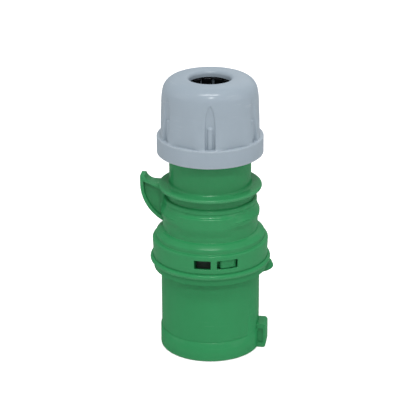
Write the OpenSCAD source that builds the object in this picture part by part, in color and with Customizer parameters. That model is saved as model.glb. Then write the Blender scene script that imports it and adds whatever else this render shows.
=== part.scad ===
// Industrial pin and sleeve plug, 16 A size, two poles and earth.
// It stands on the mouth of its sleeve. The origin is on the sleeve's axis, in the plane of the mouth.
// +X points to the key on the sleeve, -X to the finger hook, +Z to the cable end.

/* [Sleeve] */
// Outer diameter of the sleeve
sleeve_d = 42.6; // [42:0.1:44]
// Wall of the sleeve
sleeve_wall = 2.2; // [1.8:0.1:2.6]
// Length of the sleeve from its mouth to the collar
sleeve_len = 37.1; // [33:0.1:44]
// How far the band at the mouth stands out from the sleeve
band_proud = 0.5; // [0.2:0.1:1]
// Height of the band at the mouth
band_h = 8.6; // [5:0.2:12]
// Width of the key
key_w = 8.6; // [6:0.2:10]
// How far the key stands out from the sleeve
key_proud = 3.6; // [3:0.1:5]
// Length of the key from the mouth
key_len = 11.0; // [9:0.2:14]
// Height of the closed frame below and above the hollows in the key's sides
key_frame = 2.1; // [1.4:0.1:3]
// Depth of the hollow in each side of the key
key_hollow = 0.7; // [0.2:0.1:1.5]

/* [Collar and twist lock] */
// Outer diameter of the collar's lip
lip_d = 52.0; // [50:0.1:54]
// Outer diameter of the collar below the lip
collar_d = 49.0; // [47:0.1:50]
// Height of the whole collar
collar_h = 5.6; // [5:0.1:8]
// Height of the collar's lip
lip_h = 2.3; // [2:0.1:3]
// Outer diameter of the barrel that goes up into the rear housing
barrel_d = 42.6; // [42:0.1:43]
// Height of the barrel above the collar
barrel_h = 9.0; // [8.8:0.1:9.2]
// How far a twist lock lug stands out from the barrel
lug_proud = 1.0; // [0.6:0.1:1.2]
// Height of a twist lock lug, and of the rib that it hooks over
lug_h = 2.0; // [1.4:0.1:2.4]
// Angle that each lug covers
lug_angle = 26; // [16:1:30]
// Angle from the key to the nose on the collar
nose_angle = 16; // [8:1:30]
// Width of the nose on the collar
nose_w = 4.4; // [3:0.2:9]
// How far the nose reaches from the axis
nose_reach = 27.4; // [27:0.1:30]
// Height of the nose
nose_h = 4.7; // [4.5:0.1:7]

/* [Rear housing] */
// Outer diameter of the skirt
skirt_d = 49.9; // [49:0.1:51]
// Height of the skirt, from the collar to the edge of its shoulder
skirt_h = 8.2; // [8:0.1:8.6]
// Height of the sloping shoulder above the skirt
shoulder_h = 3.5; // [3:0.1:4.4]
// Outer diameter of the body above the shoulder
body_d = 40.9; // [40.6:0.1:41.4]
// Height of the body, from the shoulder to the underside of the disc
body_h = 18.7; // [18:0.1:22]
// Outer diameter of the disc
disc_d = 44.2; // [43:0.1:47]
// Thickness of the disc
disc_t = 1.7; // [1.2:0.1:2.4]
// Height of the groove under the disc
groove_h = 3.7; // [2:0.1:4]
// Outer diameter at the bottom of the groove
groove_d = 36.4; // [35.8:0.1:38]
// Outer diameter of the body between the broad ring and the groove
waist_d = 40.1; // [39:0.1:40.6]
// Outer diameter of the neck
neck_d = 35.0; // [34.6:0.1:35.4]
// Height of the neck above the disc
neck_h = 31.5; // [30:0.1:32]
// Wall of the neck
neck_wall = 2.2; // [1.9:0.1:2.4]
// Wall of the body
body_wall = 2.3; // [1.8:0.1:2.8]
// Diameter over the broad ring round the body's middle
band_ring_d = 42.5; // [41.8:0.1:43]
// Height of the broad ring, with its slopes
band_ring_h = 6.3; // [5.6:0.1:7]
// Height of the slope above the ring's crest
band_ring_slope = 2.6; // [1.6:0.1:3]
// Height of the swell below the ring
band_ring_swell = 1.8; // [1:0.1:2.2]
// Width of the bare pad in front
pad_w = 23.0; // [16:0.5:27]
// Height of the bare pad
pad_h = 7.8; // [5:0.1:8.4]

/* [Finger hook] */
// Width of the hook
hook_w = 5.8; // [5:0.2:9]
// Radius of the hook's outer curve
hook_r = 19.3; // [18:0.1:21]
// How far the hook reaches from the axis
hook_reach = 30.0; // [29:0.1:32]
// Height of the hook's tip above the disc
hook_tip_h = 2.6; // [2:0.1:5]
// Distance from the hook's back to the middle of the curl
hook_curl_back = 6.1; // [5.5:0.1:7]
// Radius of the hollow curve behind the tip
hook_curl_r = 4.4; // [3:0.1:5]
// Thickness of the hook's outer rim
hook_rim = 1.5; // [1:0.1:2.2]
// Thickness of the hook's web
hook_web = 2.2; // [1.6:0.1:4]

/* [Latch windows] */
// Height of both windows
window_h = 3.9; // [3:0.1:4.6]
// Height of the windows' lower edge above the collar
window_up = 1.9; // [1.4:0.1:2.4]
// Angle that the open window covers
window_angle = 16.5; // [12:0.5:20]
// Angle that the latch window covers
latch_window_angle = 21.4; // [18:0.1:24]
// Thickness of the skirt's wall at the windows, in front of their rebates
window_lip = 0.9; // [0.7:0.1:1.4]
// How far a rebate reaches past its window, below and above
window_rebate = 1.1; // [0.6:0.1:1.4]
// Angle from the middle of the open window to the middle of the latch window
window_pitch = 25.1; // [24:0.1:28]

/* [Gland nut] */
// Gap from the disc up to the nut as delivered
nut_gap = 14.0; // [9:0.1:16]
// Height of the nut
nut_h = 32.8; // [31:0.1:36]
// Outer diameter of the nut's flange
nut_flange_d = 45.3; // [44.4:0.1:48]
// Height of the nut's flange at its rim
nut_flange_h = 7.7; // [5:0.1:8]
// Distance across the nut's flats
nut_flats = 41.6; // [41:0.1:42]
// Diameter over the nut's rounded corners, at the flange
nut_corner_d = 43.4; // [42.6:0.1:44]
// Diameter of the nut's wall where its dome begins
nut_top_d = 41.2; // [40.8:0.1:41.6]
// Radius of the dome's upper edge
dome_r = 6.2; // [5:0.1:7]
// Radius of the soft curve by which the nut's wall leans in to that edge
dome_lean_r = 40; // [30:1:50]
// Height of the dome, from the start of that curve to the top
dome_h = 12.0; // [11:0.1:13]
// Diameter of the cable entry
entry_d = 17.4; // [15:0.1:18]
// Radius of the rounded edge of the cable entry
entry_round = 1.6; // [1:0.1:3]
// Height of the straight wall of the cable entry
entry_wall = 1.0; // [0.6:0.1:1.6]
// Width of a flute
flute_w = 4.1; // [3:0.1:5.5]
// Height of a flute above the flange
flute_h = 19.2; // [14:0.1:20]
// Height of the pointed arch at the top of a flute
flute_arch_h = 8.2; // [4:0.1:9.5]
// Distance from the axis to the floor of a flute
flute_floor = 19.9; // [19.6:0.05:20.4]
// Width of the rib inside a flute
flute_rib_w = 2.8; // [1.6:0.1:3.2]
// Height of that rib above the flange
flute_rib_h = 10.3; // [6:0.1:11]
// How far that rib stands out from the floor of its flute
flute_rib_proud = 0.8; // [0.3:0.1:1]
// Number of flutes
flutes = 6; // [6:6]
// Direction in which the first flute faces
flute_turn = -82; // [-90:1:90]

/* [Clamp cage and cable seal] */
// Travel of the nut and the cage from loose to tight
gland_travel = 3.0; // [1:0.5:3]
// Number of fingers on the clamp cage
fingers = 12; // [8:1:16]
// Gap between two fingers
finger_gap = 1.3; // [0.8:0.1:2]
// Thickness of a finger
finger_t = 1.6; // [1.2:0.1:2]
// Height of the cage's base ring
cage_ring_h = 3.5; // [2.5:0.1:4]
// Wall of the cage's base ring
cage_wall = 2.2; // [1.6:0.1:2.6]
// Height of the cable seal
seal_h = 10.0; // [8:0.5:11]
// Bore of the cable seal
seal_bore_d = 13.0; // [12.8:0.1:15]
// Distance from the neck's end to the ledge that the seal stands on
ledge_down = 18.0; // [17:0.5:20]
// How far the ledge stands into the neck's bore
ledge_w = 5.3; // [4:0.1:6]
// Thickness of the ledge that the cable seal rests on
ledge_t = 3.0; // [2:0.1:4]

/* [Pin carrier] */
// Depth of the sleeve from its mouth to the face of the carrier
mouth_depth = 38.5; // [36:0.5:40]
// Thickness of the ledge in the sleeve that the carrier rests on
carrier_ledge_t = 2.0; // [1.5:0.1:2.5]
// Distance from the barrel's end to the carrier's back
carrier_down = 1.7; // [1.6:0.1:3]
// Height of the round wall that guards each terminal
tower_h = 4.0; // [3:0.1:5.5]
// Wall of that guard
tower_wall = 1.2; // [0.8:0.1:1.4]
// Height of the three barriers between the terminals
barrier_h = 13.5; // [10:0.1:14.5]
// Thickness of a barrier
barrier_t = 1.6; // [1.2:0.1:2]

/* [Pins and terminals] */
// Diameter of the circle that the pins stand on
pin_circle_d = 18.5; // [18.2:0.1:19.5]
// Diameter of the line pin and the neutral pin
pole_pin_d = 5.0; // [4.8:0.1:5.2]
// Diameter of the earth pin
earth_pin_d = 7.0; // [6.8:0.1:7.2]
// How far the line and neutral pins stand out of the carrier
pole_pin_len = 30.0; // [24:0.5:33]
// How far the earth pin stands out of the carrier
earth_pin_len = 33.0; // [26:0.5:36]
// How much thicker a pin is inside the carrier than outside it
pin_shoulder = 0.3; // [0.2:0.05:0.6]
// Angle from the key to the earth pin
earth_angle = 120; // [120:120]
// Diameter of the terminal end of a pin
terminal_d = 8.8; // [8:0.1:9]
// Length of the terminal end of a pin
terminal_len = 16.0; // [14:0.5:17]
// Diameter of the hole for the conductor
wire_hole_d = 4.2; // [3.6:0.1:4.6]
// Depth of the hole for the conductor
wire_hole_len = 12.0; // [9:0.5:13]
// Diameter of the terminal screw's thread
screw_d = 4.0; // [3.5:0.1:4]
// Diameter of the terminal screw's head
screw_head_d = 6.4; // [5.6:0.1:7]
// Thickness of the terminal screw's head
screw_head_t = 2.2; // [1.6:0.1:2.4]
// Distance from the end of the terminal to the screw
screw_down = 4.5; // [4:0.1:6]

/* [Fits] */
// Clearance between the rear housing and the barrel's lugs
lock_clear = 0.3; // [0.2:0.05:0.4]
// Clearance between the nut and the neck
thread_clear = 0.3; // [0.2:0.05:0.4]
// Clearance round the clamp cage and the cable seal
gland_clear = 0.3; // [0.2:0.05:0.4]
// Clearance of the carrier in the sleeve
carrier_clear = 0.3; // [0.2:0.05:0.4]
// Clearance of the pins and screws in their holes
pin_clear = 0.1; // [0.05:0.01:0.15]

/* [Hidden] */
$fn = 96;

// Overlap that makes a cut or a joint clean
eps = 0.4;

// Radii
sleeve_r = sleeve_d / 2;
bore_r = sleeve_r - sleeve_wall;
band_r = sleeve_r + band_proud;
lip_r = lip_d / 2;
collar_r = collar_d / 2;
barrel_r = barrel_d / 2;
lug_r = barrel_r + lug_proud;
skirt_r = skirt_d / 2;
body_r = body_d / 2;
disc_r = disc_d / 2;
groove_r = groove_d / 2;
neck_r = neck_d / 2;
neck_bore_r = neck_r - neck_wall;
waist_r = waist_d / 2;
band_ring_r = band_ring_d / 2;
nut_flange_r = nut_flange_d / 2;
nut_corner_r = nut_corner_d / 2;
nut_top_r = nut_top_d / 2;
entry_r = entry_d / 2;
nut_bore_r = neck_r + thread_clear;

// Heights from the mouth up
joint_z = sleeve_len + collar_h;
barrel_z = joint_z + barrel_h;
skirt_z = joint_z + skirt_h;
shoulder_z = skirt_z + shoulder_h;
disc_z = shoulder_z + body_h;
groove_z = disc_z - groove_h;
pad_top_z = groove_z - 4.4;
band_ring_top_z = groove_z - 3.5;
band_ring_z = band_ring_top_z - band_ring_h;
crest_z = band_ring_top_z - band_ring_slope;
disc_top_z = disc_z + disc_t;
neck_z = disc_top_z + neck_h;
nut_z = disc_top_z + nut_gap;
nut_rim_z = nut_z + nut_flange_h;
nut_wall_z = nut_rim_z + 0.8;
nut_top_z = nut_z + nut_h;
dome_z = nut_top_z - dome_h;

// Twist lock: the lugs hook over ribs inside the skirt
lug_top_z = barrel_z - 1.0;
lug_z = lug_top_z - lug_h;
rib_z = lug_z - lug_h - 0.2;
skirt_bore_r = lug_r + lock_clear;
rib_bore_r = barrel_r + lock_clear;
lug_turns = [30, 150, 210, 330];
gasket_t = 1.2;
gasket_seat_z = barrel_z + gasket_t;
cavity_r = body_r - body_wall;

// Windows and the latch tongue
window_turn = -90;
latch_turn = window_turn + window_pitch;
window_z = joint_z + window_up;
tongue_gap = 0.8;
tongue_turn = latch_turn + 1.5;
tongue_angle = latch_window_angle - 4.6;
tongue_r = skirt_r - 0.7;

// Gland: nut, cage and seal
throat_z = nut_top_z - entry_round - entry_wall;
cone_top_r = entry_r + 1.7;
cone_low_r = neck_bore_r - 1.1;
cone_low_z = neck_z + gland_travel + 0.5;
cone_top_z = throat_z - 0.6;
cone_skirt = 2.0;
ledge_top_z = neck_z - ledge_down;
cage_z = ledge_top_z + seal_h;
cage_r = neck_bore_r - gland_clear;
cage_key_w = 2.4;
cage_key_proud = 0.9;
cage_keys = 4;

// Carrier, pins and terminals
carrier_z = mouth_depth + carrier_ledge_t;
carrier_top_z = barrel_z - carrier_down;
carrier_h = carrier_top_z - carrier_z;
carrier_r = bore_r - carrier_clear;
face_r = carrier_r - 1.6;
pin_circle_r = pin_circle_d / 2;
terminal_r = terminal_d / 2;
seat_z = carrier_top_z - 4.0;
terminal_top_z = seat_z + terminal_len;
screw_z = terminal_top_z - screw_down;
line_angle = earth_angle + 120;
neutral_angle = earth_angle + 240;
pin_angles = [earth_angle, line_angle, neutral_angle];
function shank_r(d) = d / 2 + pin_shoulder;

// A ring of square section, or a stretch of one
module ring(r_in, r_out, z, h) {
    translate([0, 0, z]) rotate_extrude() translate([r_in, 0]) square([r_out - r_in, h]);
}
module ring_part(r_in, r_out, z, h, turn, angle) {
    translate([0, 0, z])
        rotate_extrude(angle = angle, start = turn - angle / 2)
            translate([r_in, 0]) square([r_out - r_in, h]);
}

// A flat ring with a rounded rim
module round_ring(r_in, r_out, z, h) {
    translate([0, 0, z]) rotate_extrude() {
        translate([r_in, 0]) square([r_out - h / 2 - r_in, h]);
        translate([r_out - h / 2, h / 2]) circle(d = h, $fn = 32);
    }
}

// Block on the X axis, from r_in to r_out, with its outer upright edges and its top and bottom rounded
module rounded_block(r_in, r_out, w, z, h, r) {
    translate([0, w / 2, 0]) rotate([90, 0, 0]) linear_extrude(w) {
        translate([r_in, z]) square([r_out - r - r_in, h]);
        translate([r_in, z + r]) square([r_out - r_in, h - 2 * r]);
        for (end = [z + r, z + h - r]) translate([r_out - r, end]) circle(r, $fn = 40);
    }
}

// The front sleeve: sleeve, key, collar, nose, and the barrel with its lugs and latch tongue
module sleeve_outline() {
    edge = 0.6;
    translate([bore_r, edge]) square([band_r - bore_r, band_h - edge]);
    translate([bore_r + edge, 0]) square([band_r - bore_r - 2 * edge, 2 * edge]);
    for (x = [bore_r + edge, band_r - edge]) translate([x, edge]) circle(edge, $fn = 32);
    translate([bore_r, band_h - eps]) square([sleeve_wall, joint_z - band_h + eps]);
    polygon([
        [bore_r + eps, band_h - eps], [band_r, band_h - eps], [band_r, band_h],
        [sleeve_r, band_h + band_proud], [bore_r + eps, band_h + band_proud]
    ]);
}
module collar_outline() {
    lip_z = joint_z - 1.1 - lip_h;
    translate([bore_r, sleeve_len]) square([collar_r - bore_r, lip_z - sleeve_len + eps]);
    translate([bore_r, lip_z]) square([lip_r - lip_h / 2 - bore_r, lip_h]);
    translate([lip_r - lip_h / 2, lip_z + lip_h / 2]) circle(d = lip_h, $fn = 48);
    translate([bore_r, lip_z]) square([skirt_r - 0.3 - bore_r, joint_z - lip_z]);
}
module key() {
    panel_h = key_len - 2 * key_frame;
    side_y = key_w / 2 - key_hollow;
    difference() {
        rounded_block(sleeve_r - eps, sleeve_r + key_proud, key_w, 0, key_len, 0.8);
        for (y = [side_y, -side_y - key_hollow])
            translate([sleeve_r + 0.2, y, key_frame]) cube([key_proud - 1.4, key_hollow, panel_h]);
    }
}
module nose() {
    tip = 0.9;
    top_z = sleeve_len - 0.5;
    low_z = top_z - nose_h;
    rotate([0, 0, nose_angle]) translate([0, nose_w / 2, 0]) rotate([90, 0, 0]) linear_extrude(nose_w) {
        polygon([
            [sleeve_r - eps, low_z], [nose_reach - 2.5, low_z + 0.9], [nose_reach - 0.8, low_z + 1.8],
            [nose_reach, low_z + 2.9], [nose_reach, top_z - tip], [nose_reach - tip, top_z],
            [sleeve_r - eps, top_z]
        ]);
        translate([nose_reach - tip, top_z - tip]) circle(tip, $fn = 40);
    }
}
module tongue() {
    // The catch: a ramp that falls away towards its free end
    intersection() {
        ring_part(barrel_r - eps, tongue_r, window_z + 0.2, window_h - 0.4, tongue_turn, tongue_angle);
        translate([-0.76, 0.08, 0]) cylinder(h = joint_z + barrel_h, r = tongue_r);
    }
}
module front_sleeve() {
    arm_turn = (window_turn + latch_turn) / 2 + 4;
    arm_angle = window_pitch + latch_window_angle - 2;
    color("#2f8a52") difference() {
        union() {
            rotate_extrude() sleeve_outline();
            rotate_extrude() collar_outline();
            ring(bore_r, barrel_r, joint_z - eps, barrel_h + eps);
            ring(face_r + carrier_clear, bore_r + eps, mouth_depth, carrier_ledge_t);
            for (turn = lug_turns) ring_part(barrel_r - eps, lug_r, lug_z, lug_h, turn, lug_angle);
            // Snap lugs that keep the carrier down on its ledge, and the rib that stops it turning
            for (turn = [60, 180, 300])
                ring_part(bore_r - 0.7, bore_r + eps, carrier_top_z + pin_clear, 1.2, turn, 20);
            rotate([0, 0, 0]) translate([bore_r - 1, -1.5, carrier_z - eps])
                cube([1 + eps, 3, carrier_h]);
            key();
            nose();
            tongue();
        }
        // The open window lets a blade through the barrel, under the root of the tongue
        ring_part(bore_r - eps, barrel_r + eps, joint_z + 0.2, window_h + 3.4, window_turn, window_angle + 3);
        // Slots above, below and at the end of the tongue free its arm
        for (z = [window_z - tongue_gap, window_z + window_h])
            ring_part(bore_r - eps, barrel_r + eps, z, tongue_gap, latch_turn, latch_window_angle + 1);
        ring_part(bore_r - eps, barrel_r + eps, window_z - tongue_gap, window_h + 2 * tongue_gap,
            latch_turn + latch_window_angle / 2 + 0.5, 2.4);
    }
}

// The rear housing: skirt, shoulder, ringed body, disc, neck and finger hook
module shoulder_outline() {
    // A shallow dome from just inside the skirt's edge up to the body
    low = [skirt_r - 1.6, skirt_z - 0.3];
    top = [body_r - 0.1, shoulder_z];
    chord = top - low;
    across = norm(chord);
    bulge = 0.55;
    r = across * across / (8 * bulge) + bulge / 2;
    inward = [-chord[1], chord[0]] / across;
    centre = (low + top) / 2 + inward * (r - bulge);
    intersection() {
        translate(centre) circle(r, $fn = 128);
        translate([cavity_r, low[1]]) square([low[0] - cavity_r, top[1] - low[1]]);
    }
}
module skirt_outline() {
    edge = 0.9;
    waist = 0.2;
    polygon([
        [cavity_r, joint_z], [skirt_r - 0.1, joint_z], [skirt_r - waist, joint_z + 0.35 * skirt_h],
        [skirt_r, joint_z + 0.75 * skirt_h], [skirt_r, skirt_z - edge], [cavity_r, skirt_z - edge]
    ]);
    translate([cavity_r, skirt_z - edge - eps]) square([skirt_r - edge - cavity_r, edge - 0.2 + eps]);
    translate([skirt_r - edge, skirt_z - edge]) circle(edge, $fn = 40);
}
module body_outline() {
    inner = cavity_r - 3;
    lip = 1.0;
    line_z = groove_z - 2.3;
    difference() {
        union() {
            translate([inner, skirt_z - eps]) square([body_r - inner, crest_z - skirt_z + eps]);
            translate([inner, crest_z - eps]) square([waist_r - inner, groove_z - lip - crest_z + eps]);
            translate([inner, groove_z - lip - eps]) square([waist_r - lip - inner, lip + eps]);
            translate([inner, groove_z - eps]) square([groove_r - inner, groove_h + 2 * eps]);
            translate([waist_r - lip, groove_z - lip]) circle(lip, $fn = 40);
            ring_outline();
        }
        translate([waist_r + 0.1, line_z]) circle(0.4, $fn = 24);
        translate([band_ring_r + 0.15, crest_z - 0.4]) circle(0.35, $fn = 24);
    }
}
// A broad ring: it swells out of the body, and slopes back to the waist above its crest
module ring_outline() {
    edge = 0.3;
    polygon([
        [cavity_r, band_ring_z], [body_r - 0.05, band_ring_z],
        [band_ring_r - 0.1, band_ring_z + band_ring_swell], [band_ring_r, crest_z - edge],
        [band_ring_r, crest_z], [band_ring_r - edge, crest_z + edge],
        [waist_r - 0.05, band_ring_top_z], [cavity_r, band_ring_top_z]
    ]);
}
// The bare pad in front: it interrupts the ring, and runs out into the body below
module pad_outline() {
    run_out = 3.0;
    pad_r = band_ring_r + 0.05;
    pad_z = pad_top_z - pad_h;
    polygon([
        [cavity_r + 0.5, pad_z], [body_r - 0.1, pad_z], [pad_r, pad_z + run_out],
        [pad_r, pad_top_z - 0.4], [pad_r - 0.4, pad_top_z], [cavity_r + 0.5, pad_top_z]
    ]);
}
module pad() {
    corner = 2.4;
    pad_z = pad_top_z - pad_h;
    rotate([0, 0, window_turn]) intersection() {
        rotate_extrude() pad_outline();
        rotate([90, 0, 90]) linear_extrude(skirt_r) {
            translate([-pad_w / 2, pad_z + corner]) square([pad_w, pad_h - 2 * corner]);
            translate([corner - pad_w / 2, pad_z]) square([pad_w - 2 * corner, pad_h]);
            for (x = [corner - pad_w / 2, pad_w / 2 - corner], y = [pad_z + corner, pad_z + pad_h - corner])
                translate([x, y]) circle(corner, $fn = 40);
        }
    }
}
module neck_outline() {
    fillet = 1.2;
    translate([neck_bore_r, disc_z + eps]) square([neck_wall, neck_h + disc_t - eps]);
    difference() {
        translate([neck_r - eps, disc_top_z - eps]) square([fillet + eps, fillet + eps]);
        translate([neck_r + fillet, disc_top_z + fillet]) circle(fillet, $fn = 40);
    }
}
module hook() {
    centre = [hook_reach - hook_r, disc_top_z - 1.05];
    curl_r = hook_reach - hook_curl_back;
    tip_z = disc_top_z + hook_tip_h;
    plate_z = disc_top_z - 0.3;
    corner = 0.6;
    rotate([0, 0, 180]) difference() {
        translate([0, hook_w / 2, 0]) rotate([90, 0, 0]) linear_extrude(hook_w) difference() {
            intersection() {
                hook_shape(centre, hook_r, tip_z);
                translate([groove_r - eps, skirt_z]) square([hook_reach - groove_r + eps, tip_z - skirt_z]);
            }
            translate([0, plate_z]) square([curl_r, tip_z]);
            translate([curl_r, plate_z + hook_curl_r]) circle(hook_curl_r, $fn = 64);
            difference() {
                translate([hook_reach - corner, tip_z - corner]) square(2 * corner);
                translate([hook_reach - corner, tip_z - corner]) circle(corner, $fn = 32);
            }
        }
        for (side = [-1, 1]) translate([0, side * (hook_web + hook_w) / 2, 0]) hook_hollow(centre);
    }
}
module hook_shape(centre, r, top_z) {
    translate(centre) circle(r, $fn = 128);
    translate([centre[0], centre[1]]) square([r, top_z - centre[1]]);
}
module hook_hollow(centre) {
    // The hollow in one side of the web, inside the rim and under the plate
    t = hook_w - hook_web;
    top_z = disc_top_z - 1.9;
    translate([0, t / 2, 0]) rotate([90, 0, 0]) linear_extrude(t) intersection() {
        hook_shape(centre, hook_r - hook_rim, top_z + 3);
        polygon([
            [body_r + 0.6, skirt_z], [hook_reach, skirt_z], [hook_reach, top_z + 1.8],
            [body_r + 0.6, top_z - 1.6]
        ]);
    }
}
module housing_inside() {
    chamfer = 1.0;
    lead = 1.5;
    // The skirt's bore, the seat of the gasket, the wiring space and the neck's bore
    translate([0, joint_z - eps]) square([skirt_bore_r, lug_top_z + 0.3 - joint_z + eps]);
    polygon([
        [0, lug_top_z + 0.3 - eps], [skirt_bore_r, lug_top_z + 0.3 - eps], [skirt_bore_r, lug_top_z + 0.3],
        [barrel_r + 0.2, gasket_seat_z - 0.4], [barrel_r + 0.2, gasket_seat_z], [0, gasket_seat_z]
    ]);
    translate([0, gasket_seat_z - eps]) square([cavity_r, disc_z - groove_h - lead - gasket_seat_z + eps]);
    polygon([
        [0, disc_z - groove_h - lead - eps], [cavity_r, disc_z - groove_h - lead],
        [neck_bore_r, disc_z - groove_h + lead], [0, disc_z - groove_h + lead]
    ]);
    translate([0, disc_z - groove_h]) square([neck_bore_r, ledge_top_z - ledge_t - disc_z + groove_h]);
    translate([0, ledge_top_z - ledge_t - eps]) square([neck_bore_r - ledge_w, ledge_t + 2 * eps]);
    translate([0, ledge_top_z]) square([neck_bore_r, neck_z - ledge_top_z + eps]);
    polygon([
        [0, neck_z - chamfer], [neck_bore_r, neck_z - chamfer], [neck_bore_r + chamfer + eps, neck_z + eps],
        [0, neck_z + eps]
    ]);
}
// A window in the skirt: an opening in a thin lip, with a wider rebate behind it
module window(turn, angle) {
    ring_part(barrel_r, skirt_r + 2, window_z, window_h, turn, angle);
    ring_part(barrel_r, skirt_r - window_lip, window_z - window_rebate, window_h + 2 * window_rebate,
        turn, angle + 5);
}
module rear_housing() {
    key_z = cage_z - gland_travel - 1;
    color("#2f8a52") {
        difference() {
            union() {
                rotate_extrude() skirt_outline();
                rotate_extrude() shoulder_outline();
                rotate_extrude() body_outline();
                round_ring(cavity_r - 3, disc_r, disc_z, disc_t);
                rotate_extrude() neck_outline();
                hook();
                pad();
            }
            rotate_extrude() housing_inside();
            window(window_turn, window_angle);
            window(latch_turn, latch_window_angle);
            // Keyways in the neck that stop the clamp cage turning with the nut
            for (i = [0 : cage_keys - 1]) rotate([0, 0, 45 + i * 360 / cage_keys])
                translate([0, -cage_key_w / 2 - gland_clear, key_z])
                    cube([cage_r + cage_key_proud + gland_clear, cage_key_w + 2 * gland_clear, neck_z]);
        }
        for (turn = lug_turns) ring_part(rib_bore_r, skirt_bore_r + eps, rib_z, lug_h, turn, lug_angle + 2);
    }
}

// The flat gasket between the barrel and the rear housing
module housing_gasket() {
    color("#3a3d40") ring(cavity_r + 0.6, barrel_r - 0.2, barrel_z, gasket_t);
}

// The pin carrier, with a pocket for each terminal and barriers between them
module pin_carrier() {
    color("#2b2e31") difference() {
        union() {
            ring(0, face_r, mouth_depth, carrier_ledge_t + eps);
            ring(0, carrier_r, carrier_z, carrier_h);
            for (i = [0 : 2]) rotate([0, 0, pin_angles[i]]) {
                translate([pin_circle_r, 0, carrier_top_z - eps])
                    cylinder(h = tower_h + eps, r = terminal_r + 2 * pin_clear + tower_wall);
                rotate([0, 0, 60]) translate([0, -barrier_t / 2, carrier_top_z - eps])
                    cube([face_r - 1, barrier_t, barrier_h + eps]);
            }
        }
        for (i = [0 : 2]) rotate([0, 0, pin_angles[i]]) translate([pin_circle_r, 0, 0]) {
            translate([0, 0, mouth_depth - eps])
                cylinder(h = carrier_h + 2, r = shank_r(i == 0 ? earth_pin_d : pole_pin_d) + pin_clear);
            translate([0, 0, seat_z]) cylinder(h = terminal_len, r = terminal_r + pin_clear);
        }
        // Slot for the rib in the sleeve
        translate([bore_r - 1 - carrier_clear, -1.5 - carrier_clear, carrier_z - eps])
            cube([3, 3 + 2 * carrier_clear, carrier_h + 2 * eps]);
    }
}

// A pin with its terminal end: conductor hole from behind, screw hole from the side
module contact_pin(d, length) {
    nose_r = d / 2;
    difference() {
        union() {
            translate([0, 0, mouth_depth - length + nose_r])
                cylinder(h = length - nose_r + eps, r = nose_r);
            translate([0, 0, mouth_depth]) cylinder(h = seat_z - mouth_depth + eps, r = shank_r(d));
            translate([0, 0, mouth_depth - length + nose_r]) sphere(r = nose_r, $fn = 48);
            translate([0, 0, seat_z]) cylinder(h = terminal_len, r = terminal_r);
        }
        translate([0, 0, terminal_top_z - wire_hole_len]) cylinder(h = wire_hole_len + 1, d = wire_hole_d);
        translate([0, 0, screw_z]) rotate([0, 90, 0]) cylinder(h = terminal_d, r = screw_d / 2 + pin_clear);
    }
}
module placed_pin(d, length, turn) {
    color("#c9a24a") rotate([0, 0, turn]) translate([pin_circle_r, 0, 0]) contact_pin(d, length);
}
module line_pin() { placed_pin(pole_pin_d, pole_pin_len, line_angle); }
module neutral_pin() { placed_pin(pole_pin_d, pole_pin_len, neutral_angle); }
module earth_pin() { placed_pin(earth_pin_d, earth_pin_len, earth_angle); }

// One terminal screw for each pin, with a straight slot in its head
module terminal_screws() {
    tip = wire_hole_d / 2 - 1.0;
    slot_w = 0.9;
    head_x = terminal_r + 0.4;
    color("#b9bcc0") for (turn = pin_angles) rotate([0, 0, turn]) translate([pin_circle_r, 0, screw_z])
        rotate([0, 90, 0]) difference() {
            union() {
                translate([0, 0, tip]) cylinder(h = head_x - tip + eps, d = screw_d);
                translate([0, 0, head_x]) cylinder(h = screw_head_t, d = screw_head_d);
            }
            translate([-screw_head_d, -slot_w / 2, head_x + screw_head_t - 1.1])
                cube([2 * screw_head_d, slot_w, 2]);
        }
}

// The rubber seal that the cage squeezes onto the cable
module cable_seal() {
    mouth = 1.2;
    seal_r = neck_bore_r - gland_clear;
    color("#3a3d40") rotate_extrude() polygon([
        [seal_bore_d / 2 + mouth, ledge_top_z], [seal_r, ledge_top_z], [seal_r, cage_z],
        [seal_bore_d / 2 + mouth, cage_z], [seal_bore_d / 2, cage_z - mouth],
        [seal_bore_d / 2, ledge_top_z + mouth]
    ]);
}

// The clamp cage: a base ring in the neck and a crown of fingers that lean in under the nut's cone
module finger_outline() {
    slope = (cone_low_r - cone_top_r) / (cone_top_z - cone_low_z);
    gap = gland_clear * sqrt(1 + slope * slope);
    polygon([
        [cage_r - cage_wall, cage_z], [cage_r, cage_z], [cage_r, cage_z + cage_ring_h],
        [cone_low_r - gap, cone_low_z], [cone_top_r - gap, cone_top_z],
        [cone_top_r - gap - finger_t, cone_top_z], [cone_low_r - gap - finger_t, cone_low_z],
        [cage_r - cage_wall, cage_z + cage_ring_h]
    ]);
}
module clamp_cage() {
    color("#1d1f21") {
        difference() {
            rotate_extrude() finger_outline();
            for (i = [0 : fingers - 1]) rotate([0, 0, i * 360 / fingers])
                translate([0, -finger_gap / 2, cage_z + cage_ring_h]) cube([cage_r + 1, finger_gap, neck_h]);
        }
        for (i = [0 : cage_keys - 1]) rotate([0, 0, 45 + i * 360 / cage_keys])
            translate([cage_r - 1, -cage_key_w / 2, cage_z])
                cube([1 + cage_key_proud, cage_key_w, cage_ring_h]);
    }
}

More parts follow.
